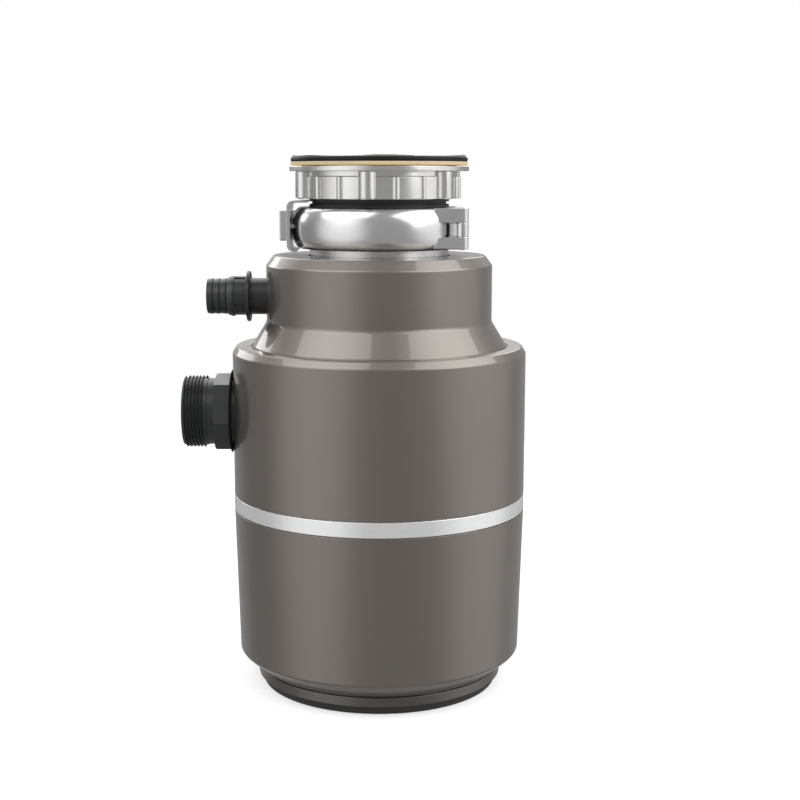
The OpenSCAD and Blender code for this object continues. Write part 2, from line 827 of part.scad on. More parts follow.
module reset_spring() {
    low = plate_top + slip * 2 + button_flange_t;
    color("silver") translate([0, -button_place, 0])
        ring(spring_r, spring_in_r, low, plate_top + cavity_h);
}

module overload_protector() {
    color([0.15, 0.15, 0.16]) difference() {
        translate([-protector_w / 2, -button_place - protector_l / 2, plate_top])
            cube([protector_w, protector_l, protector_h]);
        translate([0, -button_place, plate_top - over])
            cylinder(r = button_r + button_flange + clear, h = cavity_h + over);
    }
}

module start_capacitor() {
    color([0.2, 0.25, 0.35]) post(cap_place, cap_r, cap_z, cap_z + cap_h);
}

module capacitor_clip() {
    low = cap_z + clip_rise;
    r_in = cap_r + slip;
    color("silver") difference() {
        union() {
            post(cap_place, r_in + clip_t, low, low + clip_h);
            translate([0, -clip_foot_w / 2, low])
                cube([cap_place - r_in - clip_t / 2, clip_foot_w, clip_h]);
        }
        post(cap_place, r_in, low - over, low + clip_h + over);
        translate([0, 0, low - over]) cylinder(r = stator_r + snug, h = clip_h + over * 2);
        translate([cap_place, -clip_mouth / 2, low - over])
            cube([r_in + clip_t + over, clip_mouth, clip_h + over * 2]);
    }
}

module lower_end_bell() {
    color([0.7, 0.7, 0.71]) difference() {
        union() {
            ring(bell_r, shaft_r + clear, lower_bell_z, lower_plate_top);
            ring(bell_boss_r, shaft_r + clear, lower_bell_z, bearing_top);
            ring(skirt_r, skirt_in_r, lower_bell_z, stator_z + skirt_grip);
        }
        translate([0, 0, bearing_z]) cylinder(r = bearing_r + snug, h = bearing_h + over);
        round_about(tie_count, tie_turn)
            post(tie_place, tie_r + slip, lower_bell_z - over, lower_plate_top + over);
        round_about(post_count, post_turn)
            post(post_place, base_screw_r + snug, lower_bell_z - over,
                 lower_bell_z + base_screw_grip + slip);
    }
}

module lower_bearing() {
    color([0.72, 0.5, 0.3]) ring(bearing_r, shaft_r + running, bearing_z, bearing_top);
}

module thrust_washer() {
    color("silver") ring(thrust_r, shaft_r + running, bearing_top, bearing_top + thrust_t);
}

module motor_shaft() {
    low = lower_bell_z + shaft_recess;
    collar_z = bearing_top + thrust_t + slip;
    color([0.75, 0.76, 0.77]) difference() {
        lathe([
            [0, low],
            [shaft_r, low],
            [shaft_r, collar_z],
            [collar_shaft_r, collar_z],
            [collar_shaft_r, stator_z - end_ring_h],
            [shaft_r, stator_z - end_ring_h],
            [shaft_r, table_top - slip],
            [stub_r, table_top - slip],
            [stub_r, table_top + stub_h],
            [0, table_top + stub_h]
        ]);
        translate([0, 0, low - over]) hexagon(socket_flats, socket_d + over);
    }
}

module rotor_core() {
    color([0.45, 0.46, 0.48]) lathe([
        [shaft_r + snug, stator_z - end_ring_h],
        [end_ring_r, stator_z - end_ring_h],
        [end_ring_r, stator_z],
        [stator_bore_r - air_gap, stator_z],
        [stator_bore_r - air_gap, stator_top],
        [end_ring_r, stator_top],
        [end_ring_r, stator_top + end_ring_h],
        [shaft_r + snug, stator_top + end_ring_h]
    ]);
}

module stator_core() {
    color([0.4, 0.41, 0.43]) ring(stator_r, stator_bore_r, stator_z, stator_top);
}

module winding_head(low) {
    high = low + winding_h;
    lathe([
        [winding_in_r + winding_edge, low],
        [winding_out_r - winding_edge, low],
        [winding_out_r, low + winding_edge],
        [winding_out_r, high - winding_edge],
        [winding_out_r - winding_edge, high],
        [winding_in_r + winding_edge, high],
        [winding_in_r, high - winding_edge],
        [winding_in_r, low + winding_edge]
    ]);
}

module stator_windings() {
    color([0.72, 0.36, 0.16]) {
        winding_head(stator_z - winding_h);
        winding_head(stator_top);
    }
}

module tie_bolts() {
    color("silver") round_about(tie_count, tie_turn) {
        post(tie_place, tie_r, lower_bell_z, upper_bell_z + tie_grip);
        translate([tie_place, 0, lower_bell_z - tie_head_h])
            cylinder(r = tie_head_r, h = tie_head_h, $fn = 6);
    }
}

module upper_end_bell() {
    hub_r = seal_r + hub_wall;
    color([0.7, 0.7, 0.71]) difference() {
        union() {
            ring(bell_r, shaft_r + over, upper_bell_z, housing_z);
            ring(housing_in_r - clear, shaft_r + over, upper_bell_z, pan_z);
            ring(hub_r, shaft_r + over, upper_bell_z, pan_z + pan_hub_h);
            ring(bell_boss_r, shaft_r + over, upper_bearing_top - bearing_long, upper_bell_z + over);
            ring(skirt_r, skirt_in_r, stator_top - skirt_grip, upper_bell_z + over);
        }
        translate([0, 0, upper_bearing_top - bearing_long - over])
            cylinder(r = bearing_r + snug, h = bearing_long + over);
        translate([0, 0, seal_z]) cylinder(r = seal_r + snug, h = seal_h + over);
        round_about(tie_count, tie_turn)
            post(tie_place, tie_r + snug, upper_bell_z - over, upper_bell_z + tie_grip + slip);
        round_about(joint_count, joint_turn)
            post(flange_screw_place, joint_r + snug, housing_z - flange_screw_grip - slip,
                 housing_z + over);
    }
}

module upper_bearing() {
    color([0.72, 0.5, 0.3])
        ring(bearing_r, shaft_r + running, upper_bearing_top - bearing_long, upper_bearing_top);
}

module shaft_seal() {
    color([0.12, 0.12, 0.13]) ring(seal_r, shaft_r + running, seal_z, seal_z + seal_h);
}

module housing_screws() {
    top = housing_z + housing_flange_t;
    color("silver") round_about(joint_count, joint_turn) {
        post(flange_screw_place, joint_r, housing_z - flange_screw_grip, top);
        post(flange_screw_place, joint_head_r, top, top + joint_head_h);
    }
}

module discharge_housing() {
    color([0.22, 0.23, 0.24]) difference() {
        union() {
            difference() {
                union() {
                    ring(housing_r, housing_in_r, housing_z, housing_top);
                    ring(bell_r, housing_in_r, housing_z, housing_z + housing_flange_t);
                    ring(top_flange_r, housing_in_r, housing_top - housing_top_t, housing_top);
                    intersection() {
                        towards_left(outlet_z) cylinder(r = port_r, h = body_r);
                        translate([0, 0, housing_z])
                            cylinder(r = port_end, h = housing_top - housing_z);
                    }
                }
                translate([0, 0, housing_z - over])
                    cylinder(r = housing_in_r, h = housing_top - housing_z + over * 2);
            }
            ring(housing_in_r + over, housing_in_r - ledge_w, ledge_z - ledge_h, ledge_z);
        }
        towards_left(outlet_z) cylinder(r = port_bore_r, h = port_end + over);
        towards_left(outlet_z) translate([0, 0, port_seat])
            cylinder(r = spigot_r + running, h = port_end - port_seat + over);
        round_about(joint_count, joint_turn)
            post(flange_screw_place, joint_r + slip, housing_z - over,
                 housing_z + housing_flange_t + over);
        round_about(joint_count, joint_turn)
            post(joint_place, joint_r + snug, housing_top - housing_top_t - over,
                 housing_top + over);
    }
}

module outlet_adapter() {
    hex_z = body_r + clear + washer_t;
    color([0.07, 0.07, 0.07]) towards_left(outlet_z) difference() {
        union() {
            lathe(concat(
                [[0, port_seat + slip], [spigot_r, port_seat + slip], [spigot_r, hex_z],
                 [spigot_r, thread_start], [thread_root_r, thread_start]],
                thread_outline(),
                [[thread_root_r, outlet_end], [0, outlet_end]]
            ));
            translate([0, 0, hex_z]) rotate([0, 0, hex_turn]) hexagon(hex_flats, hex_l);
        }
        translate([0, 0, port_seat]) cylinder(r = outlet_bore_r, h = outlet_end);
    }
}
hex_turn = 20.3;     // turn of the outlet's hexagon about its axis

module outlet_washer() {
    low = body_r + clear;
    edge_share = 0.42;
    color([0.1, 0.1, 0.1]) towards_left(outlet_z) lathe([
        [spigot_r + clear, low],
        [washer_r - washer_t, low],
        [washer_r, low + washer_t * edge_share],
        [washer_r, low + washer_t * (1 - edge_share)],
        [washer_r - washer_t, low + washer_t],
        [spigot_r + clear, low + washer_t]
    ]);
}

module grind_ring() {
    color([0.8, 0.8, 0.81]) difference() {
        ring(ring_r + ring_wall, ring_r, ledge_z, ledge_z + ring_h);
        round_about(ring_teeth)
            translate([ring_r - over, -tooth_w / 2, ledge_z - over])
            cube([tooth_d + over, tooth_w, tooth_h + over]);
    }
}

module chamber_gasket() {
    color([0.1, 0.1, 0.1]) difference() {
        ring(top_flange_r, ring_r + ring_wall + clear, gasket_z, chamber_z);
        round_about(joint_count, joint_turn)
            post(joint_place, joint_r + slip, gasket_z - over, chamber_z + over);
    }
}

module chamber_screws() {
    top = chamber_z + chamber_flange_t;
    color("silver") round_about(joint_count, joint_turn) {
        post(joint_place, joint_r, housing_top - housing_top_t, top);
        post(joint_place, joint_head_r, top, top + joint_head_h);
    }
}

module grind_chamber() {
    flange_top = chamber_z + chamber_flange_t;
    color([0.78, 0.79, 0.8]) difference() {
        union() {
            lathe([
                [0, chamber_z],
                [top_flange_r, chamber_z],
                [top_flange_r, flange_top],
                [chamber_r, flange_top],
                [chamber_r, dome_z],
                [chamber_neck_r, chamber_top],
                [chamber_neck_r, neck_lip_z],
                [neck_lip_r, neck_lip_z],
                [neck_lip_r, joint_z],
                [0, joint_z]
            ]);
            towards_left(inlet_z) cylinder(r = boss_r, h = boss_end);
        }
        lathe([
            [0, chamber_z - over],
            [chamber_in_r, chamber_z - over],
            [chamber_in_r, dome_z - chamber_wall],
            [throat_r, chamber_top - chamber_wall],
            [throat_r, joint_z + over],
            [0, joint_z + over]
        ]);
        towards_left(inlet_z) cylinder(r = inlet_r + slip, h = boss_end + over);
        round_about(joint_count, joint_turn)
            post(joint_place, joint_r + slip, chamber_z - over, flange_top + over);
    }
}

module sound_liner() {
    color([0.35, 0.36, 0.38]) difference() {
        ring(chamber_r + clear + liner_t, chamber_r + clear, liner_low, liner_top);
        towards_left(inlet_z) cylinder(r = boss_r + clear, h = upper_r);
    }
}

module dishwasher_inlet() {
    flange_z = upper_r + inlet_reach;
    groove_w = inlet_grip_r / 3;
    groove_d = inlet_grip_r - inlet_r;
    color([0.09, 0.09, 0.09]) towards_left(inlet_z) difference() {
        lathe(concat(
            [[inlet_bore_r, inlet_seat], [inlet_r, inlet_seat], [inlet_r, flange_z],
             [inlet_flange_r, flange_z], [inlet_flange_r, grip_start],
             [inlet_grip_r, grip_start], [inlet_grip_r, grip_end]],
            barb_outline(),
            [[inlet_bore_r, inlet_end]]
        ));
        round_about(grip_grooves)
            translate([inlet_grip_r - groove_d, -groove_w / 2, grip_start + groove_d])
            cube([groove_d + over, groove_w, inlet_grip_l - groove_d * 2]);
    }
}

module inlet_seal() {
    color([0.1, 0.1, 0.1]) towards_left(inlet_z)
        ring(inlet_seal_r, inlet_r + slip, boss_end, boss_end + inlet_seal_t);
}

module turntable() {
    hub_z = seal_z + seal_h + hub_gap;
    color([0.8, 0.8, 0.81]) difference() {
        union() {
            ring(table_r, shaft_r + snug, table_z, table_top);
            ring(table_hub_r, shaft_r + snug, hub_z, table_z + over);
        }
        round_about(drain_count, drain_turn)
            post(table_r * drain_place_share, drain_r, table_z - over, table_top + over);
        round_about(2)
            post(impeller_place, rivet_r + snug, table_z - over, table_top + over);
    }
}

module turntable_nut() {
    color([0.82, 0.82, 0.83]) difference() {
        translate([0, 0, table_top]) hexagon(nut_flats, nut_h);
        translate([0, 0, table_top - over]) cylinder(r = stub_r + snug, h = nut_h + over * 2);
    }
}

// One impeller, with its pin at the origin and its striking end towards +X
module impeller() {
    tail_r = impeller_nose_r * impeller_tail_share;
    low = table_top + clear;
    tail = impeller_reach - tail_r;
    difference() {
        union() {
            translate([0, 0, low]) cylinder(r = impeller_nose_r, h = impeller_h);
            translate([tail, 0, low]) cylinder(r = tail_r, h = impeller_h);
            translate([0, 0, low]) linear_extrude(impeller_h) polygon([
                [0, -impeller_nose_r], [tail, -tail_r], [tail, tail_r], [0, impeller_nose_r]
            ]);
        }
        translate([0, 0, low - over])
            cylinder(r = rivet_r + running, h = impeller_h + over * 2);
    }
}

module impeller_left() {
    color([0.72, 0.73, 0.74]) rotate([0, 0, 180])
        translate([impeller_place, 0, 0]) impeller();
}

module impeller_right() {
    color([0.72, 0.73, 0.74]) translate([impeller_place, 0, 0]) impeller();
}

module impeller_pins() {
    low = table_z - rivet_head_h;
    top = table_top + impeller_h + clear * 2;
    color([0.8, 0.8, 0.82]) round_about(2) {
        post(impeller_place, rivet_head_r, low, table_z);
        post(impeller_place, rivet_r, table_z - slip, top + slip);
        post(impeller_place, rivet_head_r, top, top + rivet_head_h);
    }
}

module splash_guard() {
    guard_r = tube_in_r - clear;
    guard_in_r = guard_r - guard_wall;
    low = joint_z - guard_drop;
    color([0.12, 0.12, 0.12]) difference() {
        lathe([
            [guard_hole_r, low - flap_fall],
            [guard_in_r, low],
            [guard_r, low],
            [guard_r, low + guard_h],
            [guard_in_r, low + guard_h],
            [guard_in_r, low + flap_t],
            [guard_hole_r, low - flap_fall + flap_t]
        ]);
        round_about(slit_count)
            translate([0, -slit_w / 2, low - flap_fall - over])
            cube([guard_in_r * slit_end_share, slit_w, flap_fall + flap_t + over * 2]);
    }
}

module mount_collar() {
    groove_r = collar_r - collar_groove;
    top = nut_z - slip;
    lip = collar_h / 3;
    color([0.1, 0.1, 0.1]) lathe([
        [throat_r, joint_z],
        [neck_lip_r, joint_z],
        [neck_lip_r, jaw_top - clear],
        [collar_r, jaw_top - clear],
        [collar_r, top - lip * 2],
        [groove_r, top - lip * 2],
        [groove_r, top - lip],
        [collar_r, top - lip],
        [collar_r, top],
        [tube_r + running, top],
        [tube_r + running, bead_top],
        [bead_r + running, bead_top],
        [bead_r + running, bead_z],
        [throat_r, bead_z]
    ]);
}

module sink_flange() {
    color([0.86, 0.87, 0.88]) lathe([
        [tube_in_r, bead_z],
        [bead_r, bead_z],
        [bead_r, bead_top],
        [tube_r, bead_top],
        [tube_r, rim_z],
        [rim_r, rim_z],
        [rim_r, top_z - rim_t / 3],
        [rim_r - rim_t / 3, top_z],
        [mouth_r, top_z - mouth_drop],
        [throat_in_r + mouth_round / 3, top_z - mouth_drop - mouth_round / 3],
        [throat_in_r, top_z - mouth_drop - mouth_round],
        [throat_in_r, throat_step_z],
        [tube_in_r, throat_step_z]
    ]);
}

// One rounded rib of the nut, from its width and its crest's radius
module nut_rib(width, crest_r, high) {
    translate([crest_r - width / 2, 0, nut_z]) cylinder(r = width / 2, h = high - nut_z);
}

module mount_nut() {
    color([0.75, 0.75, 0.74]) difference() {
        intersection() {
            union() {
                ring(nut_r, nut_bore_r, nut_z, nut_flange_z + slip);
                ring(nut_flange_r, nut_bore_r, nut_flange_z, nut_top);
                for (i = [0 : rib_count - 1])
                    rotate([0, 0, nut_turn - 90 + 360 * i / rib_count])
                        if (i % 3 == 0) nut_rib(broad_rib_w, broad_rib_r, nut_flange_z + slip);
                        else nut_rib(thin_rib_w, thin_rib_r, nut_ribs_top);
            }
            lathe([
                [0, nut_z],
                [broad_rib_r - nut_edge, nut_z],
                [broad_rib_r, nut_z + nut_edge],
                [broad_rib_r + over, nut_flange_z],
                [nut_flange_r + over, nut_flange_z],
                [nut_flange_r + over, nut_top],
                [0, nut_top]
            ]);
        }
        translate([0, 0, nut_z - over]) cylinder(r = nut_bore_r, h = nut_top - nut_z + over * 2);
    }
}

module fibre_gasket() {
    color([0.78, 0.68, 0.5]) ring(gasket_r, gasket_bore_r, fibre_z, rubber_z);
}

module rubber_gasket() {
    color([0.08, 0.08, 0.08]) lathe([
        [gasket_bore_r, rubber_z],
        [gasket_r - rubber_edge, rubber_z],
        [gasket_r, rubber_z + rubber_edge],
        [gasket_r, rim_z - rubber_edge],
        [gasket_r - rubber_edge, rim_z],
        [gasket_bore_r, rim_z]
    ]);
}

// A stretch of the clamp's band between two angles
module clamp_band(from, to) {
    rotate([0, 0, from]) rotate_extrude(angle = to - from) polygon(concat(
        band_outline(),
        [[jaw_r, clamp_top], [jaw_r, jaw_top], [cavity_r, jaw_top], [cavity_r, jaw_z],
         [jaw_r, jaw_z], [jaw_r, clamp_z]]
    ));
}

// A hinge knuckle with the wing that joins it to the front half
module front_knuckle(low, high) {
    translate([hinge_x, -hinge_y, low]) cylinder(r = barrel_r, h = high - low);
    translate([hinge_x * wing_root_share, -hinge_y - barrel_r, low])
        cube([hinge_x * (1 - wing_root_share), barrel_r, high - low]);
}

// The two flush pins that hold the bracket on the front half, or wider cuts for them
module bracket_pin_pair(grow, overrun) {
    for (i = [0 : 1])
        translate([bracket_pin_deep - clamp_r, bracket_pin_y - bracket_pin_step * i, lug_mid])
            rotate([0, -90, 0])
            cylinder(r = bracket_pin_r + grow,
                     h = bracket_pin_deep + clear + bracket_wall + overrun);
}

module bracket_pins() {
    color("silver") bracket_pin_pair(0, 0);
}

module clamp_front() {
    color([0.8, 0.8, 0.8]) difference() {
        union() {
            clamp_band(front_from, front_to);
            difference() {
                union() {
                    front_knuckle(barrel_z, middle_z - knuckle_gap);
                    front_knuckle(upper_knuckle_z, barrel_z + barrel_h);
                }
                translate([0, 0, clamp_z - over])
                    cylinder(r = cavity_r + clear, h = clamp_h + over * 2);
            }
        }
        translate([hinge_x, -hinge_y, clamp_z - over])
            cylinder(r = pin_r + running, h = clamp_h + over * 2);
        bracket_pin_pair(snug, over);
    }
}

module clamp_bracket() {
    low = clamp_z - bracket_drop;
    high = clamp_top + bracket_top_rise;
    back_y = front_lug_y + front_lug_l;
    lug_in = bracket_in_r + bracket_wall / 2;
    color([0.82, 0.82, 0.82]) difference() {
        union() {
            translate([0, back_y, 0]) rotate([90, 0, 0]) mirror([1, 0, 0])
                linear_extrude(back_y + bracket_front_y) polygon([
                [bracket_foot_r, low],
                [bracket_r - bracket_round, low],
                [bracket_r, low + bracket_round],
                [bracket_r, high - bracket_round],
                [bracket_r - bracket_round, high],
                [jaw_r, high],
                [jaw_r, high - bracket_t],
                [bracket_in_r - bracket_round, high - bracket_t],
                [bracket_in_r, high - bracket_t - bracket_round],
                [bracket_in_r, low + bracket_t + bracket_round / 2],
                [bracket_in_r - bracket_round / 2, low + bracket_t],
                [bracket_foot_r, low + bracket_t]
            ]);
            translate([-lug_reach, front_lug_y, lug_z])
                cube([lug_reach - lug_in, front_lug_l, lug_h]);
        }
        translate([-screw_x, front_lug_y + front_lug_l + over, lug_mid]) rotate([90, 0, 0])
            cylinder(r = screw_r + running, h = front_lug_l - screw_skin + over);
        bracket_pin_pair(snug, over);
    }
}

module clamp_rear() {
    color([0.8, 0.8, 0.8]) difference() {
        union() {
            clamp_band(rear_from, rear_to);
            difference() {
                union() {
                    translate([-lug_reach, rear_lug_y, lug_z])
                        cube([lug_reach - lug_root, rear_lug_l, lug_h]);
                    rotate([0, 0, -hinge_turn]) translate([cavity_r, -leaf_w / 2, middle_z])
                        cube([hinge_place - cavity_r, leaf_w, middle_h]);
                }
                translate([0, 0, clamp_z - over])
                    cylinder(r = cavity_r + clear, h = clamp_h + over * 2);
            }
            translate([hinge_x, -hinge_y, middle_z]) cylinder(r = barrel_r, h = middle_h);
        }
        translate([hinge_x, -hinge_y, clamp_z - over])
            cylinder(r = pin_r + snug, h = clamp_h + over * 2);
        translate([-screw_x, rear_lug_y + rear_lug_l + over, lug_mid]) rotate([90, 0, 0])
            cylinder(r = screw_r + running, h = rear_lug_l + over * 2);
    }
}

module clamp_screw() {
    shank = screw_head_y - screw_tip_y;
    color("silver") translate([-screw_x, screw_head_y, lug_mid]) difference() {
        union() {
            rotate([90, 0, 0]) cylinder(r = screw_r, h = shank);
            rotate([-90, 0, 0]) cylinder(r = screw_head_r, h = screw_head_h);
        }
        translate([0, screw_head_h - screw_key_d, 0]) rotate([-90, 0, 0])
            hexagon(screw_key_flats, screw_key_d + over);
    }
}

module hinge_pin() {
    color("silver") translate([hinge_x, -hinge_y, barrel_z - pin_proud])
        cylinder(r = pin_r, h = barrel_h + pin_proud * 2);
}

foot_ring();
base_cap();
base_screws();
lower_shell();
trim_band();
main_shell();
upper_shell();
cable_grommet();
reset_button();
reset_spring();
overload_protector();
start_capacitor();
capacitor_clip();
lower_end_bell();
lower_bearing();
thrust_washer();
motor_shaft();
rotor_core();
stator_core();
stator_windings();
tie_bolts();
upper_end_bell();
upper_bearing();
shaft_seal();
housing_screws();
discharge_housing();
outlet_adapter();
outlet_washer();
grind_ring();
chamber_gasket();
chamber_screws();
grind_chamber();
sound_liner();
dishwasher_inlet();
inlet_seal();
turntable();
turntable_nut();
impeller_left();
impeller_right();
impeller_pins();
splash_guard();
mount_collar();
sink_flange();
mount_nut();
fibre_gasket();
rubber_gasket();
clamp_front();
clamp_bracket();
bracket_pins();
clamp_rear();
clamp_screw();
hinge_pin();
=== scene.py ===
"""Dresses a food waste disposer: painted casing, black pipe fittings, sink mount and studio."""

import json
import math

import bmesh
import bpy
from mathutils import Matrix, Vector


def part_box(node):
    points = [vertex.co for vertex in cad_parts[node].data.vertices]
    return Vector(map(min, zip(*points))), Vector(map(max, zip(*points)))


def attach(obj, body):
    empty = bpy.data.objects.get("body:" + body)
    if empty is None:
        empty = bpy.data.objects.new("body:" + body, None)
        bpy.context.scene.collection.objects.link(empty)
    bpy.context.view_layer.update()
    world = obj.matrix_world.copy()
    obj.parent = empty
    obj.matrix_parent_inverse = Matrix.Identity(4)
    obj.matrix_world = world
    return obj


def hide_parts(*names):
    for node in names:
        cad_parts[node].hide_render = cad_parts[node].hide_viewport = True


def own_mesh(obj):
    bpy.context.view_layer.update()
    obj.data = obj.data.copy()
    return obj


bl_info = {
    "name": "Food Waste Disposer",
    "version": (1, 0, 0),
    "blender": (4, 5, 0),
    "location": "View3D > Sidebar > Disposer",
    "description": "Builds the outside, the finishes and the studio of a food waste disposer",
    "category": "Add Mesh",
}

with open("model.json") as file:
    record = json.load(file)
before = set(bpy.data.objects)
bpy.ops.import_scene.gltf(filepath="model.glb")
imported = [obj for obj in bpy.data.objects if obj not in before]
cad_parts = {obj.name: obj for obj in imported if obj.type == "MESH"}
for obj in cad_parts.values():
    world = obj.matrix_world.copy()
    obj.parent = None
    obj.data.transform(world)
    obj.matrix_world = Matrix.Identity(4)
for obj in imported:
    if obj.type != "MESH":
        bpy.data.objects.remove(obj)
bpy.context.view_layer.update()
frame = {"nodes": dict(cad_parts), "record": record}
MM = 0.001
EDGE = 0.3 * MM  # rounding of a cut sheet's edge
POST_RING = 55 * MM  # distance of the base screws from the axis


def reach(node):
    """Largest radius of a node that is round about the machine's axis."""
    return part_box(node)[1].x


def low(node):
    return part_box(node)[0].z


def high(node):
    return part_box(node)[1].z


def extent(node):
    """Reach, lowest and highest height of a node that is round about the machine's axis."""
    return reach(node), low(node), high(node)


def middle_of(node):
    lowest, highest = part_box(node)
    return (lowest + highest) / 2


def reach_across(node):
    """Radius of a node that points sideways."""
    lowest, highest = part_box(node)
    return (highest.y - lowest.y) / 2


def post_places():
    """Places of the three posts that the base screws grip."""
    angles = [math.radians(90 + 120 * index) for index in range(3)]
    return [(POST_RING * math.cos(angle), POST_RING * math.sin(angle)) for angle in angles]


def towards(azimuth, elevation):
    """Direction seen from the object, where 0 is its front and 90 its right."""
    around, up = math.radians(azimuth), math.radians(elevation)
    level = math.cos(up)
    return Vector((math.sin(around) * level, -math.cos(around) * level, math.sin(up)))


# Values and nodes


class Wire:
    """A node's output that takes part in Python arithmetic by adding Math nodes."""

    def __init__(self, paint, socket):
        self.paint = paint
        self.socket = socket

    def math(self, operation, *values):
        sockets = dict(enumerate(values))
        return self.paint.node("ShaderNodeMath", {"operation": operation}, sockets)

    def __add__(self, other):
        return self.math("ADD", self, other)

    def __mul__(self, other):
        return self.math("MULTIPLY", self, other)

    __radd__ = __add__
    __rmul__ = __mul__


class Paint:
    """A node tree under construction."""

    def __init__(self, tree):
        self.tree = tree

    def feed(self, socket, value):
        """Links a wire to a socket, or sets the socket's own value."""
        if isinstance(value, Wire):
            self.tree.links.new(value.socket, socket)
        elif socket.type == "RGBA" and len(value) == 3:
            socket.default_value = (*value, 1.0)
        else:
            socket.default_value = value

    def node(self, kind, settings=None, sockets=None, output=0):
        """Adds a node with its settings, feeds its sockets, and returns one output as a wire."""
        made = self.tree.nodes.new(kind)
        for name, value in (settings or {}).items():
            setattr(made, name, value)
        for name, value in (sockets or {}).items():
            self.feed(made.inputs[name], value)
        return Wire(self, made.outputs[output])

    def place(self, stretch=(1, 1, 1)):
        """The point on the object, in metres, squeezed along each axis."""
        spot = self.node("ShaderNodeTexCoord", output="Object")
        return self.node("ShaderNodeMapping", None, {"Vector": spot, "Scale": stretch})

    def speckle(self, size, detail=2.0, stretch=(1, 1, 1)):
        """Noise between 0 and 1 with grains of one size, in metres."""
        return self.node(
            "ShaderNodeTexNoise",
            None,
            {"Vector": self.place(stretch), "Scale": 1 / size, "Detail": detail},
        )

    def rise(self, value, start, end, top):
        """0 below the start and the top value above the end, with a soft step between them."""
        return self.node(
            "ShaderNodeMapRange",
            {"interpolation_type": "SMOOTHSTEP"},
            {"Value": value, "From Min": start, "From Max": end, "To Min": 0.0, "To Max": top},
        )

    def blend(self, amount, first, second):
        return self.node(
            "ShaderNodeMix",
            {"data_type": "RGBA"},
            {"Factor": amount, 6: first, 7: second},
            output=2,
        )

    def shade(self, color, factor):
        """A colour made lighter or darker by a wire around 1."""
        return self.node(
            "ShaderNodeVectorMath", {"operation": "SCALE"}, {0: tuple(color), "Scale": factor}
        )

    def bump(self, height, distance):
        return self.node("ShaderNodeBump", None, {"Height": height, "Distance": distance})


class Finish(Paint):
    """One material: a Principled shader and what varies over it."""

    def __init__(self, name, color, roughness, metallic=0.0, **shader):
        self.material = bpy.data.materials.new(name)
        self.material.use_nodes = True
        super().__init__(self.material.node_tree)
        self.shader = self.tree.nodes["Principled BSDF"]
        self.color = color
        self.roughness = roughness
        self.set("Base Color", color)
        self.set("Roughness", roughness)
        self.set("Metallic", metallic)
        for socket, value in shader.items():
            self.set(socket.replace("_", " "), value)

    def set(self, socket, value):
        self.feed(self.shader.inputs[socket], value)

    def vary(self, wire, color_swing=0.0, roughness_swing=0.0, bump=0.0):
        """Lets noise swing the colour and the roughness, and raises it by a height in metres."""
        if color_swing:
            factor = wire * (2 * color_swing) + (1 - color_swing)
            self.set("Base Color", self.shade(self.color, factor))
        if roughness_swing:
            spread = wire * (2 * roughness_swing)
            self.set("Roughness", spread + (self.roughness - roughness_swing))
        if bump:
            self.set("Normal", self.bump(wire, bump))


FINISHES = {}


def finish(name):
    """The material of a name, made when it is first used."""
    if name not in FINISHES:
        FINISHES[name] = MAKERS[name]()
    return FINISHES[name]


def make_casing_paint(name="casing_paint", depth=1.0):
    """Metallic paint under a clear coat; a depth below 1 darkens its colour as painted shade."""
    sizes = bpy.context.scene.disposer_casing
    coat = Finish(
        name,
        tuple(channel * depth for channel in sizes.paint_color),
        sizes.paint_roughness,
        sizes.paint_metal,
        Coat_Weight=1.0,
        Coat_Roughness=0.025,
        Coat_IOR=1.5,
    )
    flakes = coat.speckle(0.0005, 1.0)
    clouds = coat.speckle(0.03, 2.0)
    coat.set("Base Color", coat.shade(coat.color, 0.93 + flakes * 0.08 + clouds * 0.06))
    coat.set("Roughness", coat.roughness - 0.02 + flakes * 0.04)
    coat.set("Normal", coat.bump(flakes, 0.00002))
    return coat.material


# Painted shade: the casing paint darkened to 0.55 of its colour for the base cap, which sits in
# shade near the floor.
def make_shaded_base_paint():
    return make_casing_paint("shaded_base_paint", 0.55)


def make_band_steel():
    steel = Finish("band_steel", (0.86, 0.865, 0.865), 0.2, 0.6)
    lines = steel.speckle(0.0004, 2.0, (0.03, 0.03, 1.0))
    steel.vary(lines, 0.02, 0.03)
    return steel.material


def make_cast_metal():
    cast = Finish("cast_metal", (0.82, 0.82, 0.825), 0.22, 1.0)
    waves = cast.speckle(0.012, 2.0)
    cast.set("Base Color", cast.shade(cast.color, 0.98 + waves * 0.04))
    cast.set("Roughness", 0.19 + waves * 0.06)
    cast.set("Normal", cast.bump(waves, 0.00004))
    return cast.material


def make_nut_metal():
    satin = Finish("nut_metal", (0.80, 0.795, 0.785), 0.24, 1.0)
    waves = satin.speckle(0.008, 3.0)
    satin.set("Base Color", satin.shade(satin.color, 0.96 + waves * 0.08))
    satin.set("Roughness", 0.2 + waves * 0.08)
    satin.set("Normal", satin.bump(waves, 0.00003))
    return satin.material


def make_flange_steel():
    steel = Finish("flange_steel", (0.80, 0.80, 0.805), 0.16, 1.0)
    steel.vary(steel.speckle(0.0006, 2.0, (0.2, 0.2, 1.0)), 0.02, 0.04, 0.00001)
    return steel.material


def make_black_rubber():
    rubber = Finish("black_rubber", (0.028, 0.028, 0.029), 0.55, IOR=1.5)
    rubber.vary(rubber.speckle(0.0012, 3.0), 0.12, 0.06, 0.00004)
    return rubber.material


def make_gasket_rubber():
    rubber = Finish("gasket_rubber", (0.006, 0.006, 0.0065), 0.5, IOR=1.35)
    rubber.vary(rubber.speckle(0.0012, 3.0), 0.12, 0.06, 0.00003)
    return rubber.material


def make_black_plastic():
    plastic = Finish("black_plastic", (0.021, 0.022, 0.023), 0.38, IOR=1.5)
    plastic.vary(plastic.speckle(0.0007, 3.0), 0.08, 0.05, 0.00003)
    return plastic.material


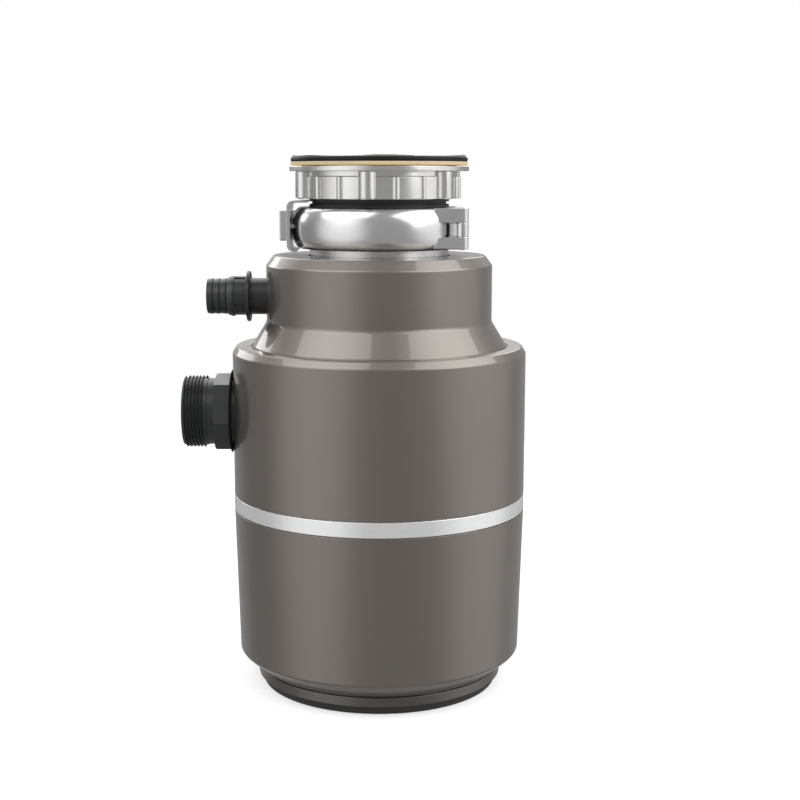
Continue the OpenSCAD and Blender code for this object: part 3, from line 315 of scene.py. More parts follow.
def make_fibre():
    fibre = Finish("pressed_fibre", (0.60, 0.44, 0.23), 0.7)
    hair = fibre.speckle(0.0009, 4.0, (1.0, 1.0, 0.4))
    fibre.set("Base Color", fibre.blend(hair, (0.56, 0.40, 0.20), (0.78, 0.61, 0.36)))
    fibre.set("Normal", fibre.bump(hair, 0.0001))
    return fibre.material


def make_red_plastic():
    plastic = Finish("red_plastic", (0.55, 0.02, 0.015), 0.25)
    plastic.vary(plastic.speckle(0.001, 2.0), 0.05, 0.04, 0.00002)
    return plastic.material


def make_dark_plastic():
    plastic = Finish("dark_plastic", (0.03, 0.03, 0.033), 0.5)
    plastic.vary(plastic.speckle(0.0006, 3.0), 0.1, 0.06, 0.00005)
    return plastic.material


def make_housing_plastic():
    plastic = Finish("housing_plastic", (0.055, 0.06, 0.065), 0.48)
    fibres = plastic.speckle(0.0008, 4.0, (1.0, 0.4, 1.0))
    plastic.vary(fibres, 0.15, 0.07, 0.00006)
    return plastic.material


def make_foam():
    foam = Finish("sound_foam", (0.06, 0.065, 0.07), 0.95)
    cells = foam.node(
        "ShaderNodeTexVoronoi", None, {"Vector": foam.place(), "Scale": 900.0, "Randomness": 1.0}
    )
    foam.set("Base Color", foam.shade(foam.color, 0.6 + cells * 0.9))
    foam.set("Normal", foam.bump(cells, 0.0005))
    return foam.material


def make_stainless():
    steel = Finish("stainless", (0.66, 0.66, 0.665), 0.28, 1.0)
    steel.vary(steel.speckle(0.0005, 2.0, (0.06, 0.06, 1.0)), 0.05, 0.08, 0.00001)
    return steel.material


def make_fastener_steel():
    zinc = Finish("zinc_plated", (0.62, 0.635, 0.65), 0.3, 1.0)
    zinc.vary(zinc.speckle(0.002, 3.0), 0.08, 0.06, 0.00001)
    return zinc.material


def make_die_cast():
    cast = Finish("die_cast", (0.52, 0.52, 0.53), 0.5, 0.9)
    cast.vary(cast.speckle(0.0015, 4.0), 0.08, 0.08, 0.00012)
    return cast.material


def make_core_iron():
    iron = Finish("core_sheets", (0.16, 0.165, 0.175), 0.45, 0.8)
    sheets = iron.node(
        "ShaderNodeTexWave",
        {"bands_direction": "Z"},
        {"Vector": iron.place(), "Scale": 320.0, "Distortion": 0.0},
    )
    iron.set("Base Color", iron.shade(iron.color, 0.6 + sheets * 0.5))
    iron.set("Normal", iron.bump(sheets, 0.0001))
    return iron.material


def make_copper_wire():
    copper = Finish("copper_wire", (0.50, 0.17, 0.06), 0.33, 0.9)
    strands = copper.node(
        "ShaderNodeTexWave",
        {"bands_direction": "Z"},
        {"Vector": copper.place(), "Scale": 260.0, "Distortion": 1.5, "Detail Scale": 40.0},
    )
    copper.set("Base Color", copper.shade(copper.color, 0.55 + strands * 0.6))
    copper.set("Normal", copper.bump(strands, 0.0003))
    return copper.material


def make_bronze():
    bronze = Finish("sintered_bronze", (0.42, 0.25, 0.12), 0.5, 0.9)
    bronze.vary(bronze.speckle(0.0006, 3.0), 0.12, 0.08, 0.00005)
    return bronze.material


def make_can_paint():
    can = Finish("can_paint", (0.04, 0.055, 0.09), 0.35, 0.2)
    can.vary(can.speckle(0.004, 2.0), 0.06, 0.05, 0.00002)
    return can.material


MAKERS = {
    "shell_paint": make_casing_paint,
    "shaded_base_paint": make_shaded_base_paint,
    "polished_steel": make_band_steel,
    "cast_clamp": make_cast_metal,
    "nut_metal": make_nut_metal,
    "flange_steel": make_flange_steel,
    "black_rubber": make_black_rubber,
    "gasket_rubber": make_gasket_rubber,
    "black_plastic": make_black_plastic,
    "fibre": make_fibre,
    "red_plastic": make_red_plastic,
    "dark_plastic": make_dark_plastic,
    "housing_plastic": make_housing_plastic,
    "foam": make_foam,
    "stainless": make_stainless,
    "fastener_steel": make_fastener_steel,
    "die_cast": make_die_cast,
    "core_iron": make_core_iron,
    "copper_wire": make_copper_wire,
    "bronze": make_bronze,
    "can_paint": make_can_paint,
}


# Shapes


def bevel(shape, parts, size, segments=3, affect="EDGES"):
    bmesh.ops.bevel(
        shape,
        geom=parts,
        offset=size,
        offset_type="OFFSET",
        affect=affect,
        segments=segments,
        profile=0.5,
        material=-1,
    )


def outline_of(*corners, segments=4):
    """A flat outline in the XZ plane from (radius, height, rounding) corners, as edges."""
    shape = bmesh.new()
    spots = [shape.verts.new((corner[0], 0, corner[1])) for corner in corners]
    shape.faces.new(spots)
    rounds = [corner[2] if len(corner) > 2 else 0 for corner in corners]
    for size in sorted(set(rounds) - {0}):
        chosen = [spot for spot, rounding in zip(spots, rounds) if rounding == size]
        bevel(shape, chosen, size, segments, "VERTICES")
    bmesh.ops.delete(shape, geom=shape.faces[:], context="FACES_ONLY")
    return shape


def spin(shape, angle, steps, rise=0.0, merge=False):
    """Spins an outline about the upright axis, and lifts it by the rise at each step."""
    bmesh.ops.spin(
        shape,
        geom=shape.verts[:] + shape.edges[:],
        cent=(0, 0, 0),
        axis=(0, 0, 1),
        dvec=(0, 0, rise),
        angle=angle,
        space=Matrix.Identity(4),
        steps=steps,
        use_merge=merge,
        use_duplicate=False,
    )


def close_ends(shape):
    open_edges = [edge for edge in shape.edges if edge.is_boundary]
    bmesh.ops.holes_fill(shape, edges=open_edges, sides=0)


def lathe(*corners, first=0.0, turn=360.0, steps=192, segments=4):
    """Spins an outline about the upright axis, from one angle on, and closes its ends."""
    shape = outline_of(*corners, segments=segments)
    whole = abs(turn) >= 360
    if first:
        turned(shape, math.radians(first))
    spin(shape, math.radians(turn), steps, merge=whole)
    bmesh.ops.remove_doubles(shape, verts=shape.verts, dist=1e-6)
    if not whole:
        close_ends(shape)
    bmesh.ops.recalc_face_normals(shape, faces=shape.faces)
    return shape


def wound(shape, pitch, turns, steps):
    """Winds a flat outline up the upright axis and closes its ends."""
    spin(shape, math.tau * turns, steps * turns, rise=pitch / steps)
    close_ends(shape)
    bmesh.ops.recalc_face_normals(shape, faces=shape.faces)
    return shape


def pillar(radius, bottom, top, edge=0.0, place=(0, 0), sides=32):
    """An upright bar of a round or many-sided section with rounded ends."""
    shape = bmesh.new()
    bmesh.ops.create_cone(
        shape,
        cap_ends=True,
        segments=sides,
        radius1=radius,
        radius2=radius,
        depth=top - bottom,
        matrix=Matrix.Translation((place[0], place[1], (top + bottom) / 2)),
    )
    if edge:
        rims = [e for e in shape.edges if abs(e.verts[0].co.z - e.verts[1].co.z) < 1e-7]
        bevel(shape, rims, edge)
    return shape


def block(corner, opposite, edge=0.0):
    """A box between two opposite corners with rounded edges."""
    shape = bmesh.new()
    bmesh.ops.create_cube(shape, size=1)
    middle = (Vector(corner) + Vector(opposite)) / 2
    span = Vector(opposite) - Vector(corner)
    bmesh.ops.scale(shape, vec=[abs(side) for side in span], verts=shape.verts)
    bmesh.ops.translate(shape, vec=middle, verts=shape.verts)
    if edge:
        bevel(shape, shape.edges[:], edge)
    return shape


def moved(shape, matrix):
    bmesh.ops.transform(shape, matrix=matrix, verts=shape.verts)
    return shape


def turned(shape, angle):
    """Turns a shape about the upright axis."""
    return moved(shape, Matrix.Rotation(angle, 4, "Z"))


def towards_left(shape, height):
    """Turns a shape that stands on +Z so that it points along -X at a height."""
    return moved(shape, Matrix.Translation((0, 0, height)) @ Matrix.Rotation(-math.pi / 2, 4, "Y"))


def towards_rear(shape, place):
    """Turns a shape that stands on +Z so that it points along +Y from a place."""
    return moved(shape, Matrix.Translation(place) @ Matrix.Rotation(-math.pi / 2, 4, "X"))


def joined(shapes):
    """Several shapes in one."""
    whole = bmesh.new()
    spare = bpy.data.meshes.new("spare")
    for shape in shapes:
        shape.to_mesh(spare)
        shape.free()
        whole.from_mesh(spare)
    bpy.data.meshes.remove(spare)
    return whole


def as_object(name, shape):
    mesh = bpy.data.meshes.new(name)
    shape.to_mesh(mesh)
    shape.free()
    made = bpy.data.objects.new(name, mesh)
    bpy.context.scene.collection.objects.link(made)
    return made


def bored(shape, cutter):
    """A shape without what a closed cutter takes out of it."""
    blank, tool = as_object("blank", shape), as_object("cutter", cutter)
    change = blank.modifiers.new("cut", "BOOLEAN")
    change.operation = "DIFFERENCE"
    change.solver = "EXACT"
    change.object = tool
    left = bmesh.new()
    left.from_object(blank, bpy.context.evaluated_depsgraph_get())
    bpy.data.objects.remove(blank)
    bpy.data.objects.remove(tool)
    return left


def dress(name, shape, slot, body, *nodes, coat=None):
    """Makes a shape a piece: smooth, painted, on its body and in place of its CAD nodes."""
    thing = as_object(name, shape)
    thing.data.shade_smooth()
    thing.data.set_sharp_from_angle(angle=math.radians(35))
    even = thing.modifiers.new("even_shading", "WEIGHTED_NORMAL")
    even.keep_sharp = True
    thing.data.materials.append(finish(coat or slot))
    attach(thing, body)
    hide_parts(*nodes)
    return thing


# Sizes


def length(name, description, default):
    return bpy.props.FloatProperty(
        name=name, description=description, default=default, min=0.0, unit="LENGTH", precision=4
    )


def fraction(name, description, default):
    return bpy.props.FloatProperty(
        name=name, description=description, default=default, min=0.0, max=1.0, subtype="FACTOR"
    )


def rotation(name, description, degrees):
    return bpy.props.FloatProperty(
        name=name, description=description, default=math.radians(degrees), subtype="ANGLE"
    )


class DisposerCasing(bpy.types.PropertyGroup):
    """Sizes and paint of the casing."""

    paint_color: bpy.props.FloatVectorProperty(
        name="Paint colour",
        description="Colour of the metallic paint under its clear coat",
        subtype="COLOR",
        size=3,
        default=(0.232, 0.2055, 0.1845),
        min=0.0,
        max=1.0,
    )
    paint_roughness: fraction("Paint roughness", "How softly the metallic layer reflects", 0.42)
    paint_metal: fraction("Metal share", "Share of metal flakes in the paint", 0.9)
    wall: length("Wall", "Thickness of the sheet metal shells", 1.6 * MM)
    bevel_width: length("Bevel width", "Step in from the lower shell to its foot", 11.2 * MM)
    bevel_height: length("Bevel height", "Height of the lower shell's bevel", 9.9 * MM)
    lower_taper: length("Lower taper", "How much narrower the lower shell is at its foot", 2.8 * MM)
    band_height: length("Band height", "Height of the trim band that shows", 9.8 * MM)
    shoulder_chamfer: length("Shoulder chamfer", "Width of the shoulder's chamfer", 2.8 * MM)
    shoulder_drop: length("Shoulder drop", "Height of the shoulder's chamfer", 4.6 * MM)
    groove: length("Shoulder groove", "Gap round the foot of the upper shell", 1.2 * MM)
    seat: length("Seat depth", "How deep the upper shell stands in the shoulder", 1.5 * MM)
    cone_width: length("Cone width", "Step in over the upper shell's cone", 9.7 * MM)
    cone_height: length("Cone height", "Height of the upper shell's cone", 15.9 * MM)
    top_chamfer: length("Top chamfer", "Width of the upper shell's top chamfer", 4.9 * MM)
    top_drop: length("Top drop", "Height of the upper shell's top chamfer", 6.6 * MM)
    crease: length("Crease", "Rounding of the shells' outer corners", 0.7 * MM)


class DisposerPipes(bpy.types.PropertyGroup):
    """Sizes of the waste outlet and the dishwasher inlet."""

    outlet_bore: length("Outlet bore", "Inner radius of the waste outlet", 19.5 * MM)
    outlet_pipe: length("Outlet pipe", "Outer radius of the outlet's plain pipe", 22.0 * MM)
    thread_crest: length("Thread crest", "Outer radius of the thread", 23.9 * MM)
    thread_depth: length("Thread depth", "Depth of the thread", 1.5 * MM)
    thread_pitch: length("Thread pitch", "Distance from one turn to the next", 2.309 * MM)
    thread_turns: bpy.props.IntProperty(
        name="Thread turns", description="Turns of the outlet's thread", default=7, min=1, max=12
    )
    hexagon: length("Hexagon", "Distance across the hexagon's flats", 45.0 * MM)
    hexagon_length: length("Hexagon length", "Length of the hexagon along the pipe", 10.3 * MM)
    hexagon_turn: rotation("Hexagon turn", "Turn of the hexagon about the pipe", -9.7)
    inlet_bore: length("Inlet bore", "Inner radius of the dishwasher inlet", 8.0 * MM)
    inlet_pipe: length("Inlet pipe", "Outer radius of the inlet's plain pipe", 11.95 * MM)
    inlet_grip: length("Inlet grip", "Outer radius of the grooved grip", 13.2 * MM)
    panel_turn: rotation("Panel turn", "Where the grip's first sunk panel starts", -115)
    barb_crest: length("Barb crest", "Outer radius of the hose barbs", 11.8 * MM)
    barb_root: length("Barb root", "Radius of the hose barbs at their thin end", 10.7 * MM)
    barb_length: length("Barb length", "Length of one hose barb", 4.4 * MM)


class DisposerMount(bpy.types.PropertyGroup):
    """Sizes of the nut, the gaskets and the sink flange."""

    nut_bore: length("Nut bore", "Inner radius of the mount nut", 43.3 * MM)
    nut_wall: length("Nut wall", "Outer radius of the nut between its ribs", 52.0 * MM)
    broad_rib: length("Broad rib", "Half the width of every third rib", 5.8 * MM)
    broad_crest: length("Broad crest", "Radius at the crest of the broad ribs", 57.4 * MM)
    thin_rib: length("Thin rib", "Half the width of the other ribs", 2.4 * MM)
    thin_crest: length("Thin crest", "Radius at the crest of the other ribs", 53.6 * MM)
    rib_count: bpy.props.IntProperty(
        name="Ribs", description="Ribs round the mount nut", default=18, min=6, max=36
    )
    rib_turn: rotation("Rib turn", "Turn of the first broad rib from the front", -8.3)
    rib_height: length("Rib height", "Height of the thin ribs", 14.2 * MM)
    flange_height: length("Flange height", "Thickness of the nut's flange", 3.6 * MM)
    throat: length("Throat", "Inner radius of the sink flange", 41.9 * MM)
    rim_height: length("Rim height", "Thickness of the sink flange's rim", 1.8 * MM)


class DisposerClamp(bpy.types.PropertyGroup):
    """Sizes of the hinged clamp."""

    bulge: bpy.props.FloatProperty(
        name="Bulge",
        description="Squareness of the band's rounded side, 2 is an ellipse",
        default=2.5,
        min=1.0,
        max=6.0,
    )
    edge_radius: length("Edge radius", "Radius of the band at its upper and lower edge", 50.0 * MM)
    jaw_radius: length("Jaw radius", "Inner radius of the jaws", 46.4 * MM)
    hinge_radius: length("Hinge radius", "Radius of the hinge's barrel", 4.0 * MM)


class DisposerStudio(bpy.types.PropertyGroup):
    """Camera, lamps and background."""

    lens: bpy.props.FloatProperty(
        name="Lens", description="Focal length in millimetres", default=65.16, min=10.0
    )
    shift: bpy.props.FloatProperty(
        name="Camera shift", description="Sideways shift of the view", default=0.026
    )
    distance: length("Camera distance", "Distance of the camera in front of the axis", 0.957)
    eye: length("Camera height", "Height of the camera above the foot", 0.3386)
    pitch: rotation("Camera pitch", "How far the camera looks down", 8.82)
    lamp_level: bpy.props.FloatProperty(
        name="Lamp level",
        description="Brightness of the soft lamps, 1 is white",
        default=1.9,
        min=0.0,
    )
    lamp_distance: length("Lamp distance", "Distance of the soft lamps from the object", 1.6)
    room_level: fraction(
        "Room level", "Brightness of the room as it lights the object from all sides", 0.6
    )
    front_level: fraction(
        "Front level", "Brightness of the room in front, as polished surfaces mirror it", 0.32
    )


# Operators


class BuildCasing(bpy.types.Operator):
    """Build the foot, the base cap, the painted shells and the trim band"""

    bl_idname = "disposer.build_casing"
    bl_label = "Casing"

    def execute(self, context):
        sizes = context.scene.disposer_casing
        pipes = context.scene.disposer_pipes
        self.build_foot()
        self.build_base()
        self.build_lower(sizes)
        self.build_band(sizes)
        self.build_main(sizes, pipes)
        self.build_upper(sizes, pipes)
        return {"FINISHED"}

    def build_foot(self):
        outer = reach("foot_ring")
        top = high("foot_ring")
        inner = outer - 14 * MM
        ring = lathe(
            (inner, 0, 0.8 * MM),
            (outer - 2.1 * MM, 0, 0.8 * MM),
            (outer - 1.3 * MM, 0.8 * MM, 0.4 * MM),
            (outer, top, EDGE),
            (inner, top),
        )
        dress("foot_rubber", ring, "black_rubber", "casing", "foot_ring")

    def build_base(self):
        """The pan under the lower shell, with its posts, its key hole and the button's hole."""
        outer, bottom, post_top = extent("base_cap")
        edge = bottom + 6.2 * MM
        top = low("lower_shell")
        recess = outer - 18 * MM
        strip = outer - 1.6 * MM
        rim = outer - 5.6 * MM
        plate = bottom + 2.5 * MM
        floor = plate + 2.5 * MM
        hole = 6 * MM
        pan = lathe(
            (recess, bottom),
            (outer, bottom, EDGE),
            (outer, edge, 0.6 * MM),
            (strip, edge),
            (strip, top),
            (rim, top),
            (rim, floor),
            (hole, floor, EDGE),
            (hole, plate, EDGE),
            (recess, plate, EDGE),
        )
        posts = [pillar(5.5 * MM, plate + MM, post_top, place=place) for place in post_places()]
        button = middle_of("reset_button")
        button_hole = pillar(4.8 * MM, 0, 20 * MM, place=(button.x, button.y), sides=48)
        cap = bored(joined([pan] + posts), button_hole)
        # The base cap takes the darkened copy of the casing paint, which is painted shade.
        dress("base_pan", cap, "shell_paint", "casing", "base_cap", coat="shaded_base_paint")

    def build_lower(self, sizes):
        outer, bottom, top = extent("lower_shell")
        wall = sizes.wall
        waist = outer - sizes.lower_taper
        foot = waist - sizes.bevel_width
        bend = bottom + sizes.bevel_height
        inner = foot - 6.6 * MM
        skin = lathe(
            (inner, bottom),
            (foot, bottom, sizes.crease),
            (waist, bend, 1.2 * MM),
            (outer, top, EDGE),
            (outer - wall, top, EDGE),
            (waist - wall, bend),
            (foot - wall, bottom + wall),
            (inner, bottom + wall),
        )
        hole = pillar(6.5 * MM, 50 * MM, 120 * MM, sides=64)
        towards_rear(hole, (0, 0, middle_of("cable_grommet").z))
        dress("lower_skin", bored(skin, hole), "shell_paint", "casing", "lower_shell")

    def build_band(self, sizes):
        outer, start, end = extent("trim_band")
        web = outer - 2 * MM
        inner = web - 2 * MM
        middle = (start + end) / 2
        bottom = middle - sizes.band_height / 2
        top = middle + sizes.band_height / 2
        ring = lathe(
            (inner, start),
            (web, start),
            (web, bottom),
            (outer, bottom, 0.4 * MM),
            (outer, top, 0.4 * MM),
            (web, top),
            (web, end),
            (inner, end),
        )
        dress("steel_band", ring, "polished_steel", "casing", "trim_band")

    def build_main(self, sizes, pipes):
        outer, bottom, top = extent("main_shell")
        wall = sizes.wall
        rim = reach("upper_shell") + sizes.groove
        ledge = rim - 5.2 * MM
        seat = top - sizes.seat
        bend = top - sizes.shoulder_drop
        skin = lathe(
            (outer - wall, bottom, EDGE),
            (outer, bottom, EDGE),
            (outer, bend, sizes.crease),
            (outer - sizes.shoulder_chamfer, top, sizes.crease),
            (rim, top, 0.5 * MM),
            (rim, seat),
            (ledge, seat),
            (ledge, seat - wall),
            (outer - wall - sizes.shoulder_chamfer, seat - wall),
            (outer - wall, seat - wall - sizes.shoulder_drop),
        )
        hole = pillar(pipes.outlet_pipe + MM, 50 * MM, 120 * MM, sides=96)
        towards_left(hole, middle_of("outlet_adapter").z)
        dress("main_skin", bored(skin, hole), "shell_paint", "casing", "main_shell")

    def build_upper(self, sizes, pipes):
        outer, bottom, top = extent("upper_shell")
        wall = sizes.wall
        shoulder = high("main_shell")
        neck = outer - sizes.cone_width
        cone_top = shoulder + sizes.cone_height
        bend = top - sizes.top_drop
        under = top - 2 * MM
        mouth = reach("splash_guard") + 6.1 * MM
        skin = lathe(
            (outer - wall, bottom),
            (outer, bottom),
            (outer, shoulder, sizes.crease),
            (neck, cone_top, 1.5 * MM),
            (neck, bend, sizes.crease),
            (neck - sizes.top_chamfer, top, sizes.crease),
            (mouth, top, 0.5 * MM),
            (mouth, under),
            (neck - sizes.top_chamfer - wall, under),
            (neck - wall, bend - 2 * MM),
            (neck - wall, cone_top),
            (outer - wall, shoulder),
        )
        hole = pillar(pipes.inlet_pipe + 0.3 * MM, 40 * MM, 100 * MM, sides=64)
        towards_left(hole, middle_of("dishwasher_inlet").z)
        dress("upper_skin", bored(skin, hole), "shell_paint", "casing", "upper_shell")


class BuildOutlet(bpy.types.Operator):
    """Build the threaded waste outlet and its washer"""

    bl_idname = "disposer.build_outlet"
    bl_label = "Waste outlet"

    def execute(self, context):
        pipes = context.scene.disposer_pipes
        pipe_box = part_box("outlet_adapter")
        washer_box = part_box("outlet_washer")
        height = middle_of("outlet_adapter").z
        end = -pipe_box[0].x
        start = -pipe_box[1].x
        hexagon_start = -washer_box[0].x
        hexagon_end = hexagon_start + pipes.hexagon_length
        thread_start = end - pipes.thread_turns * pipes.thread_pitch
        root = pipes.thread_crest - pipes.thread_depth
        tube = lathe(
            (pipes.outlet_bore, start, 0.4 * MM),
            (pipes.outlet_pipe, start, 0.4 * MM),
            (pipes.outlet_pipe, thread_start - 0.4 * MM),
            (root, thread_start),
            (root, end, 0.5 * MM),
            (pipes.outlet_bore, end, 0.5 * MM),
            steps=128,
        )
        body = self.hexagon(pipes, hexagon_start, hexagon_end)
        thread = self.thread(pipes, thread_start, root)
        shapes = [towards_left(shape, height) for shape in (tube, body, thread)]
        dress("outlet_pipe", joined(shapes), "black_plastic", "casing", "outlet_adapter")

        edge = reach_across("outlet_washer")
        near = -washer_box[1].x
        bore = pipes.outlet_pipe + 0.3 * MM
        washer = lathe(
            (bore, near),
            (edge - 2.2 * MM, near, 0.3 * MM),
            (edge, (near + hexagon_start) / 2, 0.2 * MM),
            (edge - 2.2 * MM, hexagon_start, 0.3 * MM),
            (bore, hexagon_start),
            steps=96,
        )
        piece = towards_left(washer, height)
        dress("outlet_seal", piece, "black_rubber", "casing", "outlet_washer", coat="black_plastic")
        return {"FINISHED"}

    def hexagon(self, pipes, start, end):
        """The hexagon for the spanner, bored for the pipe, with chamfered corners."""
        corner = pipes.hexagon / math.sqrt(3)
        taper = lathe(
            (corner + 3 * MM, start - MM),
            (corner + 3 * MM, end + MM),
            (corner - 2.2 * MM, end + MM),
            (corner - 1.2 * MM, end),
            (corner + 0.1 * MM, end - 1.0 * MM),
            (corner + 0.1 * MM, start + 0.4 * MM),
            (corner - 0.6 * MM, start - MM),
            steps=48,
        )
        bore = pillar(pipes.outlet_pipe - 0.5 * MM, start - MM, end + MM, sides=96)
        shape = bored(bored(pillar(corner, start, end, sides=6), taper), bore)
        ridges = [e for e in shape.edges if abs(e.verts[0].co.z - e.verts[1].co.z) > 5 * MM]
        outer = [e for e in ridges if e.verts[0].co.xy.length > corner - 3 * MM]
        bevel(shape, outer, 0.4 * MM, 2)
        return turned(shape, pipes.hexagon_turn)

    def thread(self, pipes, start, root):
        """A ridge that winds round the pipe."""
        crest = pipes.thread_crest
        foot = root - 0.5 * MM
        flat = crest - 0.1 * MM
        ridge = [
            (foot, 0.1),
            (root, 0.1),
            (flat, 0.42),
            (crest, 0.46),
            (crest, 0.54),
            (flat, 0.58),
            (root, 0.9),
            (foot, 0.9),
        ]
        pitch = pipes.thread_pitch
        outline = outline_of(*[(radius, start + pitch * share) for radius, share in ridge])
        return wound(outline, pitch, pipes.thread_turns - 1, 72)


class BuildInlet(bpy.types.Operator):
    """Build the barbed dishwasher inlet"""

    bl_idname = "disposer.build_inlet"
    bl_label = "Dishwasher inlet"

    def execute(self, context):
        pipes = context.scene.disposer_pipes
        lowest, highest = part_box("dishwasher_inlet")
        flange = reach_across("dishwasher_inlet")
        start = -highest.x
        end = -lowest.x
        barbs = end - 3 * pipes.barb_length
        grip_end = barbs - 3.1 * MM
        grip = grip_end - 9.9 * MM
        collar = grip - 2.3 * MM
        crest = pipes.barb_crest
        root = pipes.barb_root
        corners = [
            (pipes.inlet_bore, start, 0.3 * MM),
            (pipes.inlet_pipe, start, 0.3 * MM),
            (pipes.inlet_pipe, collar),
            (flange, collar, 0.7 * MM),
            (flange, grip, 0.7 * MM),
            (pipes.inlet_grip, grip),
            (pipes.inlet_grip, grip_end, 0.8 * MM),
            (crest, barbs, 0.2 * MM),
        ]
        for index in range(3):
            near = barbs + index * pipes.barb_length
            corners += [
                (root, near),
                (root, near + 0.5 * MM),
                (crest, near + 0.6 * MM, 0.2 * MM),
                (crest - 0.5 * MM, near + pipes.barb_length, 0.3 * MM),
            ]
        corners.append((pipes.inlet_bore, end, 0.5 * MM))
        depth = 0.8 * MM
        floor, above = pipes.inlet_grip - depth, pipes.inlet_grip + MM
        near, far = grip + depth, grip_end - 2 * depth
        panel = [(floor, near), (above, near), (above, far), (floor, far)]
        first = math.degrees(pipes.panel_turn)
        starts = [first + 120 * index for index in range(3)]
        panels = [lathe(*panel, first=angle, turn=98, steps=48) for angle in starts]
        tube = bored(lathe(*corners, steps=128, segments=3), joined(panels))
        pipe = towards_left(tube, middle_of("dishwasher_inlet").z)
        dress("inlet_pipe", pipe, "black_plastic", "casing", "dishwasher_inlet")
        return {"FINISHED"}


class BuildClamp(bpy.types.Operator):
    """Build the hinged clamp with its bracket, lugs, screw and pins"""

    bl_idname = "disposer.build_clamp"
    bl_label = "Clamp"

    def execute(self, context):
        clamp = context.scene.disposer_clamp
        band = self.band_outline(clamp)
        self.build_front(clamp, band)
        self.build_rear(clamp, band)
        self.build_bracket(clamp)
        self.build_fasteners()
        return {"FINISHED"}

    def band_outline(self, clamp):
        """Corners of the band's section: rounded outside, jaws and a groove inside."""
        outer = -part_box("clamp_front")[0].x
        bottom, top = low("clamp_front"), high("clamp_front")
        groove = 52.1 * MM
        groove_low, groove_high = 301.06 * MM, 313.06 * MM
        corners = []
        steps = 20
        for index in range(steps + 1):
            rise = math.sin((index / steps - 0.5) * math.pi)
            bulge = (1 - abs(rise) ** clamp.bulge) ** (1 / clamp.bulge)
            radius = clamp.edge_radius + (outer - clamp.edge_radius) * bulge
            corners.append((radius, bottom + (top - bottom) * (rise + 1) / 2))
        corners += [
            (clamp.jaw_radius, top, 0.6 * MM),
            (clamp.jaw_radius, groove_high, 0.4 * MM),
            (groove, groove_high),
            (groove, groove_low),
            (clamp.jaw_radius, groove_low, 0.4 * MM),
            (clamp.jaw_radius, bottom, 0.6 * MM),
        ]
        return corners

    def barrel_heights(self):
        """Heights at which the hinge's three barrels start and end."""
        bottom, top = low("hinge_pin") + 0.4 * MM, high("hinge_pin") - 0.4 * MM
        rise = top - bottom
        return bottom, bottom + 0.31 * rise, bottom + 0.635 * rise, top

    def lug(self, inside, front, back, edge):
        """A block for the clamp screw, with the screw's height in its middle."""
        height = middle_of("clamp_screw").z
        half = 10.05 * MM
        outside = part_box("clamp_rear")[0].x
        return block((outside, front, height - half), (inside, back, height + half), edge)

    def screw_hole(self, start, end):
        """The clamp screw's hole from one depth to another."""
        middle = middle_of("clamp_screw")
        return towards_rear(pillar(2.8 * MM, start, end, sides=48), (middle.x, 0, middle.z))

    def knuckle(self, clamp, bottom, top):
        """One barrel of the hinge with the wing that joins it to the front half."""
        hinge = middle_of("hinge_pin")
        radius = clamp.hinge_radius
        barrel = pillar(radius, bottom, top, 0.35 * MM, hinge.xy, 48)
        corner = (34 * MM, hinge.y - radius, bottom)
        wing = block(corner, (hinge.x, hinge.y + 0.4 * MM, top), 0.9 * MM)
        return [barrel, wing]

    def build_front(self, clamp, band):
        bottom, first, second, top = self.barrel_heights()
        shapes = [lathe(*band, first=170, turn=148, steps=148)]
        shapes += self.knuckle(clamp, bottom, first - 0.2 * MM)
        shapes += self.knuckle(clamp, second + 0.2 * MM, top)
        dress("clamp_front_band", joined(shapes), "cast_clamp", "clamp_front_half", "clamp_front")

    def build_rear(self, clamp, band):
        hinge = middle_of("hinge_pin")
        _, bottom, top, _ = self.barrel_heights()
        half = 3.5 * MM
        leaf = block((53 * MM, -half, bottom), (hinge.xy.length, half, top), 0.5 * MM)
        turned(leaf, math.atan2(hinge.y, hinge.x))
        front, back = 26 * MM, 32 * MM
        lug = self.lug(-46.5 * MM, front, back, 0.8 * MM)
        shapes = [
            lathe(*band, first=321, turn=202, steps=202),
            leaf,
            pillar(clamp.hinge_radius, bottom, top, 0.35 * MM, hinge.xy, 48),
            bored(lug, self.screw_hole(front - MM, back + MM)),
        ]
        dress("clamp_rear_band", joined(shapes), "cast_clamp", "casing", "clamp_rear")

    def build_bracket(self, clamp):
        """A straight channel that grips the front half from above and below, with its lug."""
        lowest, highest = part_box("clamp_bracket")
        front, back = lowest.y, highest.y
        bottom, top = lowest.z, highest.z
        outer, inner, lip = 59.6 * MM, 57.3 * MM, 53 * MM
        floor, roof = bottom + 1.4 * MM, top - 1.4 * MM
        section = outline_of(
            (-lip, bottom, 0.3 * MM),
            (-outer, bottom, 4 * MM),
            (-outer, top, 4 * MM),
            (-clamp.jaw_radius, top, 0.3 * MM),
            (-clamp.jaw_radius, roof, 0.3 * MM),
            (-inner, roof, 3 * MM),
            (-inner, floor, 2 * MM),
            (-lip, floor, 0.3 * MM),
            segments=8,
        )
        end = bmesh.ops.contextual_create(section, geom=section.edges[:])["faces"]
        walls = bmesh.ops.extrude_face_region(section, geom=end)["geom"]
        moving = [part for part in walls if isinstance(part, bmesh.types.BMVert)]
        bmesh.ops.translate(section, vec=(0, back - front, 0), verts=moving)
        bmesh.ops.translate(section, vec=(0, front, 0), verts=section.verts)
        bmesh.ops.recalc_face_normals(section, faces=section.faces)
        rims = [e for e in section.edges if abs(e.verts[0].co.y - e.verts[1].co.y) < 1e-7]
        bevel(section, rims, 0.25 * MM, 2)
        lug = self.lug(-58.4 * MM, 6 * MM, back, 0.7 * MM)
        shapes = [bored(shape, self.screw_hole(7.2 * MM, back + MM)) for shape in (section, lug)]
        dress("clamp_channel", joined(shapes), "cast_clamp", "clamp_front_half", "clamp_bracket")
        self.build_rivets(outer)

